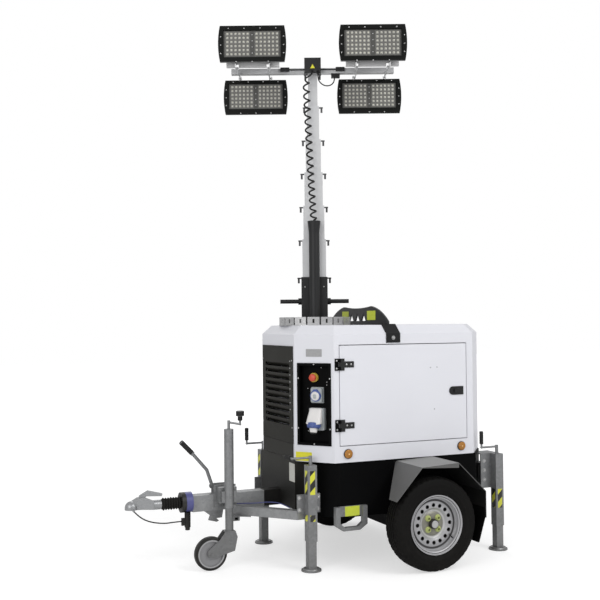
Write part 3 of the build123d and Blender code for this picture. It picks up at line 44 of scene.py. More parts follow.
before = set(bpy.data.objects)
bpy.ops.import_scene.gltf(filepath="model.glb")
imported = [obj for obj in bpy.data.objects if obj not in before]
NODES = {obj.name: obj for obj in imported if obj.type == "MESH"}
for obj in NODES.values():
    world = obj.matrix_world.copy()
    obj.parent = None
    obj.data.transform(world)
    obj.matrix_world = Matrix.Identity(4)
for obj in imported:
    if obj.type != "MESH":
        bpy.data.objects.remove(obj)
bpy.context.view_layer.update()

# Places that several pieces share, in metres.
# The mast stands turned by -24 degrees; MAST_COS and MAST_SIN turn a place back by 24
MAST_X = 0.045
MAST_COS, MAST_SIN = 0.9135, 0.4067
MAST = Matrix.Translation((MAST_X, 0, 0)) @ Matrix.Rotation(math.radians(-24), 4, "Z")
# The canopy's cut front corner: X across it, Y up, Z outwards
CORNER = Matrix((
    (0.64658, 0, -0.76285, -0.137),
    (-0.76285, 0, -0.64658, -0.38),
    (0, 1, 0, 0),
    (0, 0, 0, 1),
))
WHEEL_AXIS = (0.5, 0, 0.289)
WHEEL_SIDES = {"near": -0.705, "far": 0.705}
JOCKEY_AXIS = (-0.738, -0.126, 0.104)
JACKS = {
    "front": ((-0.177, -0.404), (-0.177, 0.404)),
    "rear": ((1.179, -0.451), (1.179, 0.451)),
}
LAMPS = (
    # name, across, forward, window height
    ("upper_left", -0.394, -0.2, 3.355),
    ("upper_right", 0.394, -0.2, 3.355),
    ("lower_left", -0.394, 0.2, 3.108),
    ("lower_right", 0.394, 0.2, 3.108),
)
# Half widths of the six sliding mast sections, from the lowest
SECTION_HALVES = (0.0785, 0.07, 0.061, 0.051, 0.041, 0.0315)
# How far out the front panel, a door's sheet and its hinge straps lie
FRONT_FACE, SIDE_FACE, HINGE_FACE = -0.232, 0.485, 0.49
HINGES = (1.271, 0.892)
BOX_MIDDLE = 3.237
BLACK = (0.0025, 0.0025, 0.0027)
DUST_COLOUR = (0.23, 0.21, 0.18)


# Shader helpers

def feed(tree, made, inputs):
    """Fixed values and links for a node's inputs."""
    for key, value in inputs.items():
        socket, value = made.inputs[key], getattr(value, "socket", value)
        if isinstance(value, bpy.types.NodeSocket):
            tree.links.new(value, socket)
        else:
            socket.default_value = (*value[:3], 1) if socket.type == "RGBA" else value
    return made


def add(tree, kind, inputs=None, **settings):
    """One node with its settings, its fixed values and its links."""
    made = tree.nodes.new(kind)
    for key, value in settings.items():
        setattr(made, key, value)
    return feed(tree, made, inputs or {})


def number(tree, kind, inputs, output=0, **settings):
    """An output of a new node, as a value that takes sums."""
    return Value(tree, add(tree, kind, inputs, **settings).outputs[output])


class Value:
    """A number in a shader tree that takes Python's sums."""

    def __init__(self, tree, socket):
        self.tree, self.socket = tree, socket

    def maths(self, operation, other=0.0):
        """One sum with this value first."""
        return number(self.tree, "ShaderNodeMath", {0: self, 1: other}, operation=operation)

    def ranged(self, low, high, to_low=0.0, to_high=1.0):
        """This value carried from one range to another."""
        return number(self.tree, "ShaderNodeMapRange", {
            "Value": self, "From Min": low, "From Max": high, "To Min": to_low, "To Max": to_high,
        })

    def above(self, limit, soft=0.0006):
        """A mask that is 1 where this value is over a limit."""
        return self.ranged(limit - soft, limit + soft)

    def below(self, limit):
        """A mask that is 1 where this value is under a limit."""
        return number(self.tree, "ShaderNodeMath", {0: 1.0, 1: self.above(limit)}, operation="SUBTRACT")

    def __abs__(self):
        return self.maths("ABSOLUTE")

    def __add__(self, other):
        return self.maths("ADD", other)

    def __sub__(self, other):
        return self.maths("SUBTRACT", other)

    def __mul__(self, other):
        return self.maths("MULTIPLY", other)


def mixed(tree, factor, first, second):
    """A colour between two, by a mask."""
    return add(tree, "ShaderNodeMix", {0: factor, 6: first, 7: second}, data_type="RGBA").outputs[2]


def position(tree):
    """The point on the surface in the row frame."""
    return add(tree, "ShaderNodeTexCoord").outputs["Object"]


def split(tree, vector):
    """The three coordinates of a vector."""
    return [Value(tree, axis) for axis in add(tree, "ShaderNodeSeparateXYZ", {0: vector}).outputs]


def place_on(tree, centre=None):
    """The three coordinates of the point on the surface, in the row frame or from a centre."""
    point = position(tree)
    if centre:
        point = add(tree, "ShaderNodeVectorMath", {0: point, 1: centre}, operation="SUBTRACT").outputs[0]
    return split(tree, point)


def noise(tree, scale, detail, roughness=0.5):
    """Plain noise over the surface."""
    return number(tree, "ShaderNodeTexNoise", {
        "Vector": position(tree), "Scale": scale, "Detail": detail, "Roughness": roughness,
    })


def shader_group(name, label, value, *outputs):
    """A shader group with one number in, as a value, and named masks out."""
    tree = bpy.data.node_groups.new(name, "ShaderNodeTree")
    tree.interface.new_socket(label, in_out="INPUT", socket_type="NodeSocketFloat").default_value = value
    for output in outputs:
        tree.interface.new_socket(output, in_out="OUTPUT", socket_type="NodeSocketFloat")
    return tree, number(tree, "NodeGroupInput", {})


def grain_group():
    """Fine uneven grain: a mask for colour and gloss, and a height for bump."""
    tree, scale = shader_group("Fine grain", "Scale", 60.0, "Mask", "Height")
    fine = noise(tree, scale, 4.0)
    mask = (fine * 0.4 + noise(tree, 2.3, 3.0) * 0.6).ranged(0.3, 0.7)
    add(tree, "NodeGroupOutput", {"Mask": mask, "Height": fine})
    return tree


def flakes_group():
    """Zinc bloom: hard-edged flakes softened by drift, for colour and gloss."""
    tree, scale = shader_group("Zinc flakes", "Scale", 90.0, "Mask")
    cells = add(tree, "ShaderNodeTexVoronoi", {"Vector": position(tree), "Scale": scale})
    tone = number(tree, "ShaderNodeSeparateColor", {"Color": cells.outputs["Color"]})
    mask = (tone * 0.45 + noise(tree, 8.0, 5.0) * 0.75).ranged(0.25, 0.95)
    add(tree, "NodeGroupOutput", {"Mask": mask})
    return tree


def dust_group():
    """Road dust that thins out with height above the ground."""
    tree, amount = shader_group("Road dust", "Amount", 0.3, "Mask")
    fade = place_on(tree)[2].ranged(0.0, 0.6, 1.0, 0.0)
    worn = noise(tree, 14.0, 6.0, 0.7).ranged(0.35, 0.7, 0.2, 1.0)
    add(tree, "NodeGroupOutput", {"Mask": fade * worn * amount})
    return tree


GROUPS = {"grain": grain_group(), "flakes": flakes_group(), "dust": dust_group()}


def placed_group(tree, name, value):
    """The outputs of one of the shared groups in a material, with its own value."""
    return add(tree, "ShaderNodeGroup", {0: value}, node_tree=GROUPS[name]).outputs


def new_material(name):
    """A material with its Principled shader and nothing on it yet."""
    made = bpy.data.materials.new(name)
    made.use_nodes = True
    return made, made.node_tree, made.node_tree.nodes["Principled BSDF"]


def surface(name, colour, shade, rough, metallic=0.0, grain=60.0, bump=0.0003, flakes=0.0, dust=0.0, coat=0.0,
            shine=0.5, seen=()):
    """A finish from two tones, a gloss range, grain or zinc flakes, paints laid over them, and road dust."""
    made, tree, shader = new_material(name)
    texture = placed_group(tree, "grain", grain)
    mask = Value(tree, (placed_group(tree, "flakes", flakes) if flakes else texture)["Mask"])
    tint = mixed(tree, mask, colour, shade)
    gloss = mask.ranged(0.0, 1.0, *rough)
    for paint in seen:
        tint, gloss = paint(tree, tint, gloss)
    if dust:
        dirt = placed_group(tree, "dust", dust)["Mask"]
        tint = mixed(tree, dirt, tint, DUST_COLOUR)
        gloss = gloss.maths("MAXIMUM", dirt)
    relief = add(tree, "ShaderNodeBump", {"Height": texture["Height"], "Distance": bump, "Strength": 0.6})
    feed(tree, shader, {
        "Base Color": tint, "Roughness": gloss, "Metallic": metallic, "Coat Weight": coat, "Coat Roughness": 0.15,
        "Specular IOR Level": shine, "Normal": relief.outputs[0],
    })
    return made


def toned(colour, *factors):
    """Tones of one colour."""
    return [tuple(min(1.0, channel * factor) for channel in colour) for factor in factors]


# Paints: each lays a second colour, and often a second gloss, where a mask of the place on the part says so

def masked(mask_of, colour, rough=None, centre=None):
    """A paint whose mask is worked out from the three coordinates of the place."""
    def paint(tree, tint, gloss):
        mask = mask_of(*place_on(tree, centre))
        if rough is not None:
            gloss = number(tree, "ShaderNodeMix", {0: mask, 2: gloss, 3: rough}, data_type="FLOAT")
        return mixed(tree, mask, tint, colour), gloss
    return paint


def bars(pitch):
    """Diagonal bars that wrap round an upright square tube."""
    return lambda x, y, z: (z - (x - y)).maths("DIVIDE", pitch).maths("FRACT").maths("GREATER_THAN", 0.5)


def across_mast(x, y):
    """Distance from the mast's middle plane, and distance forward of it."""
    shifted = x - MAST_X
    return shifted * MAST_COS - y * MAST_SIN, shifted * MAST_SIN + y * MAST_COS


def flags(half):
    """The small brackets that stand out at a mast section's sides."""
    return lambda x, y, z: abs(across_mast(x, y)[0]).above(half + 0.001)


def reach(x, z):
    """Distance from a wheel's axis."""
    return (x * x + z * z).maths("SQRT")


def ring(radius, half):
    """A ring about a wheel's axis."""
    return lambda x, y, z: abs(reach(x, z) - radius).ranged(half * 0.6, half, 1.0, 0.0)


def spots(count, pitch, radius):
    """Round spots on a circle about a wheel's axis, one round each vent."""
    def mask(x, y, z):
        turn = z.maths("ARCTAN2", x) * (count / (2 * math.pi))
        angle = (turn - turn.maths("ROUND")) * (2 * math.pi / count)
        away = reach(x, z)
        along = away * angle.maths("COSINE") - pitch
        return reach(along, away * angle.maths("SINE")).ranged(radius - 0.0008, radius, 1.0, 0.0)
    return mask


MASKS = {
    # what stands proud of a door's sheet
    "hardware": lambda x, y, z: abs(y).above(0.4856),
    # the front flange of the overrun ring
    "flange": lambda x, y, z: (x * -1.0).above(0.868),
    # the parked plug among the drawbar's fittings
    "plug": lambda x, y, z: (x * -1.0).above(0.834) * z.below(0.4),
    # the drawbar beam's last stretch, painted black: painted shade where the beam runs in under the front cover
    "beam_end": lambda x, y, z: x.above(-0.345),
    # the front cover's lower edge, near black towards the bottom: painted shade where the cover turns down and under
    "low": lambda x, y, z: z.ranged(0.62, 0.5),
    # lugs and channel below and behind an upper lamp
    "lamp_upper": lambda x, y, z: z.below(3.2362).maths("MAXIMUM", across_mast(x, y)[1].above(-0.164)),
    # lugs above and before a lower lamp
    "lamp_lower": lambda x, y, z: across_mast(x, y)[1].below(0.164).maths("MAXIMUM", z.above(3.2208)),
}


def guard_light_and_shade(tree, tint, gloss):
    """A mudguard's plate with painted light and painted shade: a lighter grey on faces that look up, as if lit from
    above, and black on faces turned in towards the wheel.
    """
    out_x, _, out_z = split(tree, add(tree, "ShaderNodeNewGeometry").outputs["True Normal"])
    x, _, z = place_on(tree, WHEEL_AXIS)
    # painted light: a lighter grey where the face looks up
    lit_top = mixed(tree, out_z.ranged(0.8, 0.97), tint, (0.235, 0.235, 0.23))
    # painted shade: black where the face turns in towards the wheel's axis
    return mixed(tree, (x * out_x + z * out_z).ranged(-0.1, -0.14), lit_top, BLACK), gloss


# Mesh helpers

def moved(place, x, y, z):
    """A place shifted along its own axes."""
    return place @ Matrix.Translation((x, y, z))


def turned(place, degrees, axis):
    """A place turned about one of its own axes."""
    return place @ Matrix.Rotation(math.radians(degrees), 4, axis)


def facing(location, normal, up=(0, 0, 1)):
    """A place whose Z is the surface's normal and whose Y is up."""
    z = Vector(normal).normalized()
    y = Vector(up)
    y = (y - z * y.dot(z)).normalized()
    x = y.cross(z)
    made = Matrix((x, y, z)).transposed().to_4x4()
    made.translation = Vector(location)
    return made


def side_of(x, y, z):
    """A place on the near or the far side, looking outwards."""
    return facing((x, y, z), (0, -1 if y < 0 else 1, 0))


def front_of(x, y, z):
    """A place that looks to the front."""
    return facing((x, y, z), (-1, 0, 0))


def points_at(bm, place, points):
    """New mesh points at a place."""
    return [bm.verts.new(place @ Vector(point)) for point in points]


def skin(bm, rings, index=0, closed=True):
    """Faces between rings of points; a ring of one point is a tip."""
    for low, high in zip(rings, rings[1:]):
        count = max(len(low), len(high))
        for step in range(count if closed else count - 1):
            after = (step + 1) % count
            corners = dict.fromkeys((
                low[step % len(low)], low[after % len(low)], high[after % len(high)], high[step % len(high)],
            ))
            if len(corners) > 2:
                bm.faces.new(list(corners)).material_index = index


def caps(bm, rings, index):
    """The two ends of a row of rings."""
    for end in (rings[-1], rings[0][::-1]):
        bm.faces.new(end).material_index = index


def lathe(bm, profile, place, steps=32, index=0):
    """A turned form from rows of (radius, height); it is closed where the radius is 0."""
    turns = [2 * math.pi * step / steps for step in range(steps)]
    skin(bm, [points_at(bm, place, [
        (radius * math.cos(t), radius * math.sin(t), height) for t in (turns if radius else turns[:1])
    ]) for radius, height in profile], index)


def outline(width, height, radius, steps=4):
    """Corner points of a rectangle with rounded corners."""
    points = []
    for turn, (sx, sy) in enumerate(((1, 1), (-1, 1), (-1, -1), (1, -1))):
        cx, cy = sx * (width / 2 - radius), sy * (height / 2 - radius)
        for step in range(steps + 1):
            angle = math.pi / 2 * (turn + step / steps)
            points.append((cx + radius * math.cos(angle), cy + radius * math.sin(angle)))
    return points


def plate(bm, points, place, thick, bevel=0.0, index=0):
    """A flat plate standing on its place, with a bevelled upper edge."""
    middle = Vector((sum(p[0] for p in points), sum(p[1] for p in points))) / len(points)
    inset = []
    for point in points:
        away = Vector(point) - middle
        inset.append(middle + away * max(0.0, 1 - bevel / max(away.length, 1e-6)))
    rings = [points_at(bm, place, [(*p, z) for p in layer])
             for layer, z in ((points, 0.0), (points, thick - bevel), (inset, thick))]
    skin(bm, rings, index)
    caps(bm, rings, index)


def swept(bm, points, radius, steps):
    """A round cable along points, closed at both ends."""
    rings = []
    side = None
    turns = [2 * math.pi * step / steps for step in range(steps)]
    for row, point in enumerate(points):
        ahead = points[min(row + 1, len(points) - 1)] - points[max(row - 1, 0)]
        ahead.normalize()
        if side is None:
            side = ahead.orthogonal().normalized()
        side = (side - ahead * side.dot(ahead)).normalized()
        other = ahead.cross(side)
        rings.append([bm.verts.new(point + (side * math.cos(t) + other * math.sin(t)) * radius) for t in turns])
    skin(bm, rings)
    for end in (rings[0][::-1], rings[-1]):
        bm.faces.new(end)


def hex_bolt(bm, place, size):
    """A hexagon head on its washer."""
    lathe(bm, ((0, -0.001), (size * 1.7, -0.001), (size * 1.7, 0.0012), (size * 1.2, 0.0015)), place, 20)
    lathe(bm, ((size * 1.12, 0), (size * 1.12, size * 0.55), (size * 0.9, size * 0.72), (0, size * 0.72)),
          moved(place, 0, 0, 0.0012), 6)


def dome_screw(bm, place, radius=0.004, index=0):
    """A low round head with a socket in it."""
    rows = ((1, 0.2), (0.8, 0.55), (0.42, 0.7), (0.34, 0.3), (0, 0.3))
    lathe(bm, [(radius, -0.0008)] + [(radius * r, radius * h) for r, h in rows], place, 14, index)


def linked(name, data):
    """A new object in the scene."""
    made = bpy.data.objects.new(name, data)
    bpy.context.scene.collection.objects.link(made)
    return made


def piece(name, bm, materials, body, angle=35, node=None):
    """Finish a mesh as one piece that rides on a body and may take a node's place."""
    bmesh.ops.recalc_face_normals(bm, faces=bm.faces)
    mesh = bpy.data.meshes.new(name)
    bm.to_mesh(mesh)
    bm.free()
    for material in materials:
        mesh.materials.append(MATERIALS[material])
    mesh.shade_smooth()
    mesh.set_sharp_from_angle(angle=math.radians(angle))
    made = linked(name, mesh)
    if body:
        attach(made, body)
    if node:
        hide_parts(node)
    return made


def smooth_line(points):
    """The points, in order, of a smooth open line with given control points."""
    data = bpy.data.curves.new("line", "CURVE")
    data.dimensions = "3D"
    data.resolution_u = 8
    spline = data.splines.new("NURBS")
    spline.points.add(len(points) - 1)
    for control, point in zip(spline.points, points):
        control.co = (*point, 1)
    spline.order_u = 3
    spline.use_endpoint_u = True
    curve = linked("line", data)
    mesh = bpy.data.meshes.new_from_object(curve)
    line = [vert.co.copy() for vert in mesh.vertices]
    bpy.data.meshes.remove(mesh)
    bpy.data.objects.remove(curve)
    return line


def length_of(points):
    """The length of a line through points."""
    return sum((b - a).length for a, b in zip(points, points[1:]))


def cord_piece(name, path, radius, finish, body, node, steps=12):
    """A hanging cord drawn along its path, in place of its plain solid."""
    bm = bmesh.new()
    swept(bm, path, radius, steps)
    made = piece(name, bm, [finish], body, 60, node)
    return made


MATERIALS = {}


def colour_prop(name, description, default):
    """A colour that the user may change."""
    return bpy.props.FloatVectorProperty(
        name=name, description=description, subtype="COLOR", size=3, min=0, max=1, default=default
    )


def length_prop(name, description, default):
    """A length that the user may change."""
    return bpy.props.FloatProperty(name=name, description=description, default=default, unit="LENGTH")


class TowerFinishes(bpy.types.PropertyGroup):
    """Colours of the main finishes."""

    paint: colour_prop("Canopy paint", "Colour of the canopy, roof and doors", (0.72, 0.725, 0.77))
    panel: colour_prop("Front panel", "Colour of the louvre panel and the cover below it", (0.0195, 0.0188, 0.015))
    chassis: colour_prop("Chassis", "Colour of the base tank, mast base and lifting arch", (0.0028, 0.0029, 0.0031))
    zinc: colour_prop("Zinc", "Colour of the galvanised steel", (0.27, 0.275, 0.281))
    mast: colour_prop("Mast", "Colour of the mast sections and the crossbar", (0.62, 0.625, 0.635))
    tape: colour_prop("Warning tape", "Bright colour of the jack tapes", (0.72, 0.72, 0.05))
    marker: colour_prop("Marker", "Colour of the amber side markers", (0.58, 0.235, 0.02))


class TowerSizes(bpy.types.PropertyGroup):
    """Sizes of the pieces made here."""

    tape_pitch: length_prop("Tape pitch", "Distance between two bars of the jack tapes", 0.098)
    curl_turns: bpy.props.FloatProperty(
        name="Curl turns", description="Turns of the curly cord", default=18.5, min=4, max=40)
    curl_radius: length_prop("Curl radius", "Radius of the curly cord's turns", 0.0192)
    cable_diameter: length_prop("Cable", "Diameter of the curly cord's cable", 0.0115)
    led_columns: bpy.props.IntProperty(
        name="LED columns", description="Columns of LEDs in each half of a lamp", default=6, min=1, max=12)
    led_rows: bpy.props.IntProperty(
        name="LED rows", description="Rows of LEDs in a lamp", default=6, min=1, max=12)
    tread_depth: length_prop("Tread depth", "Depth of the tyres' grooves", 0.007)


class TOWER_OT_stage(bpy.types.Operator):
    """Pale floor, soft studio light and the camera"""

    bl_idname = "tower.stage"
    bl_label = "Stage"

    def execute(self, context):
        scene = context.scene
        scene.view_settings.view_transform = "Standard"
        scene.world = bpy.data.worlds.new("Studio")
        scene.world.use_nodes = True
        tree = scene.world.node_tree
        tree.nodes.clear()
        light, white = (add(tree, "ShaderNodeBackground", {"Color": (1, 1, 1), "Strength": strength})
                        for strength in (0.61, 1.0))
        rays = add(tree, "ShaderNodeLightPath").outputs
        seen = Value(tree, rays["Is Camera Ray"]).maths("MAXIMUM", rays["Is Transmission Ray"])
        both = add(tree, "ShaderNodeMixShader", {0: seen, 1: light.outputs[0], 2: white.outputs[0]})
        add(tree, "ShaderNodeOutputWorld", {"Surface": both.outputs[0]})

        bm = bmesh.new()
        bmesh.ops.create_grid(bm, x_segments=1, y_segments=1, size=30)
        mesh = bpy.data.meshes.new("floor")
        bm.to_mesh(mesh)
        bm.free()
        floor = linked("floor", mesh)
        made, tree, shader = new_material("Studio floor")
        camera_ray = Value(tree, add(tree, "ShaderNodeLightPath").outputs["Is Camera Ray"])
        feed(tree, shader, {
            "Base Color": camera_ray.ranged(0.0, 1.0, 0.8, 1.0), "Roughness": 0.9, "Specular IOR Level": 0.0,
        })
        glow = add(tree, "ShaderNodeEmission", {"Color": (1, 1, 1), "Strength": 1.25})
        away = number(tree, "ShaderNodeVectorMath", {0: position(tree)}, "Value", operation="LENGTH")
        share = camera_ray * away.ranged(1.8, 6.0, 0.45, 1.0)
        blend = add(tree, "ShaderNodeMixShader", {0: share, 1: shader.outputs[0], 2: glow.outputs[0]})
        feed(tree, tree.nodes["Material Output"], {"Surface": blend.outputs[0]})
        mesh.materials.append(made)

        lights = (
            # name, location, aim, size, watts
            ("key", (2.6, -5.2, 5.4), (0.2, 0, 1.0), 3.2, 190.0),
            ("fill", (-4.8, -3.6, 3.2), (-0.2, 0, 1.2), 3.6, 112.0),
            ("back", (1.5, 5.0, 4.6), (0.2, 0, 1.4), 3.2, 70.0),
        )
        for name, location, aim, size, watts in lights:
            data = bpy.data.lights.new(name, "AREA")
            data.size, data.energy = size, watts
            lamp = linked(name, data)
            lamp.location = location
            lamp.rotation_euler = (Vector(aim) - Vector(location)).to_track_quat("-Z", "Y").to_euler()

        # the camera fitted to the photo
        azimuth, rise, roll = -23.598, 1.397, -0.5007
        place = Matrix.Translation((-2.5208, -5.6292, 1.5351))
        for angle, axis in ((azimuth, "Z"), (90 + rise, "X"), (roll, "Z")):
            place = turned(place, angle, axis)
        data = bpy.data.cameras.new("camera")
        data.lens, data.sensor_width = 55.19, 36.0
        scene.camera = linked("camera", data)
        scene.camera.matrix_world = place
        return {"FINISHED"}


# Settings that several finishes share
COAT = {"rough": (0.38, 0.48), "grain": 900, "bump": 0.0002, "dust": 0.25}
TEXTURED = {"rough": (0.5, 0.62), "grain": 700, "bump": 0.0006, "dust": 0.05}
SATIN = {"rough": (0.42, 0.56), "grain": 500}
GALVANISED = {"rough": (0.36, 0.52), "metallic": 0.55, "grain": 160, "flakes": 70, "dust": 0.25}
DRAWN = {"rough": (0.36, 0.48), "metallic": 0.45, "grain": 30, "bump": 0.0001}
CASTING = {"rough": (0.36, 0.5), "grain": 450, "bump": 0.0005, "shine": 0.14}
CASTING_TONES = (0.0028, 0.0031, 0.0027), (0.0056, 0.0062, 0.0055)

PLAIN = (
    # finish, label, colour, shade, gloss range, grain, coat
    ("led_board", "LED board", (0.15, 0.147, 0.135), (0.1, 0.099, 0.091), (0.3, 0.5), 120, 0),
    ("led_frame", "LED frame", (0.07, 0.069, 0.064), (0.048, 0.047, 0.044), (0.3, 0.5), 120, 0),
    ("led_lens", "LED lens", (0.55, 0.546, 0.508), (0.385, 0.38, 0.35), (0.08, 0.16), 80, 0.5),
    ("led_chip", "LED chip", (0.62, 0.56, 0.32), (0.5, 0.45, 0.24), (0.3, 0.4), 80, 0),
    ("wheel_cap", "Pale green cap", (0.5, 0.56, 0.2), (0.4, 0.45, 0.15), (0.4, 0.55), 90, 0),
    ("olive", "Olive nut", (0.1, 0.12, 0.012), (0.07, 0.085, 0.01), (0.4, 0.55), 90, 0),
    ("red", "Red plastic", (0.62, 0.075, 0.035), (0.48, 0.055, 0.028), (0.36, 0.48), 200, 0.1),
    ("ochre", "Yellow plastic", (0.68, 0.46, 0.06), (0.56, 0.37, 0.045), (0.35, 0.48), 200, 0),
    ("yellow", "Yellow label", (0.74, 0.7, 0.03), (0.62, 0.58, 0.03), (0.35, 0.48), 90, 0),
    ("white_label", "White label", (0.55, 0.55, 0.51), (0.42, 0.42, 0.38), (0.4, 0.55), 90, 0),
    ("outlet_grey", "Outlet grey", (0.42, 0.45, 0.46), (0.33, 0.36, 0.37), (0.4, 0.5), 300, 0),
    ("outlet_white", "Outlet white", (0.74, 0.725, 0.715), (0.64, 0.625, 0.615), (0.35, 0.45), 300, 0),
    ("outlet_blue", "Outlet blue", (0.075, 0.12, 0.36), (0.05, 0.08, 0.24), (0.35, 0.48), 300, 0),
    # the small bright amber dome in each marker's middle is a painted highlight
    ("amber_core", "Amber core", (0.95, 0.62, 0.24), (0.85, 0.52, 0.18), (0.1, 0.2), 260, 0.5),
    ("lens_red", "Red lens", (0.36, 0.01, 0.008), (0.22, 0.006, 0.005), (0.1, 0.2), 260, 0.8),
    ("blue_wire", "Blue wire", (0.04, 0.05, 0.2), (0.03, 0.035, 0.12), (0.4, 0.5), 200, 0),
    ("engine", "Engine grey", (0.14, 0.145, 0.15), (0.09, 0.09, 0.095), (0.45, 0.6), 120, 0),
)

# The finish of every carried-over node
DRESSED = {
    "paint": "canopy_front canopy_rear side_frames roof",
    "door": "door_near door_far",
    "panel": "louvre_panel",
    "cover": "front_cover",
    "chassis": "base_tank hinge_leaves axle_beam",
    "base": "mast_base",
    "arch": "lifting_arch",
    "strap": "arch_straps",
    "tray": "control_panel",
    "fittings": "drawbar_fittings",
    "mudguard": "mudguards",
    "cast": "coupling_head",
    "flap": "mud_flaps",
    "boot": "bellows",
    "beam_end": "drawbar_beam",
    "beam": "drawbar_legs",
    "fork": "jockey_fork jockey_leg",
    "zinc": "jockey_tube jack_tubes_front jack_tubes_rear jack_leg_front_near jack_leg_front_far "
            "jack_leg_rear_near jack_leg_rear_far forklift_loops",
    "mast": "crossbar",
    "tab": "index_ring",
    "lamp_upper": "lamp_upper_left lamp_upper_right",
    "lamp_lower": "lamp_lower_left lamp_lower_right",
    "plastic": "junction_box",
    "tyre": "tyre_near tyre_far",
    "rubber": "curly_cord breakaway_cable lamp_lead",
    "blue_wire": "brake_wire",
    "rim": "rim_near rim_far",
    "ring": "overrun_ring",
    "red": "stop_button",
    "outlet_grey": "outlets",
    "amber": "marker_lamps",
    "engine": "engine_block",
    "jockey": "jockey_wheel",
    **{f"mast_{number}": f"mast_section_{number}" for number in range(1, 7)},
}


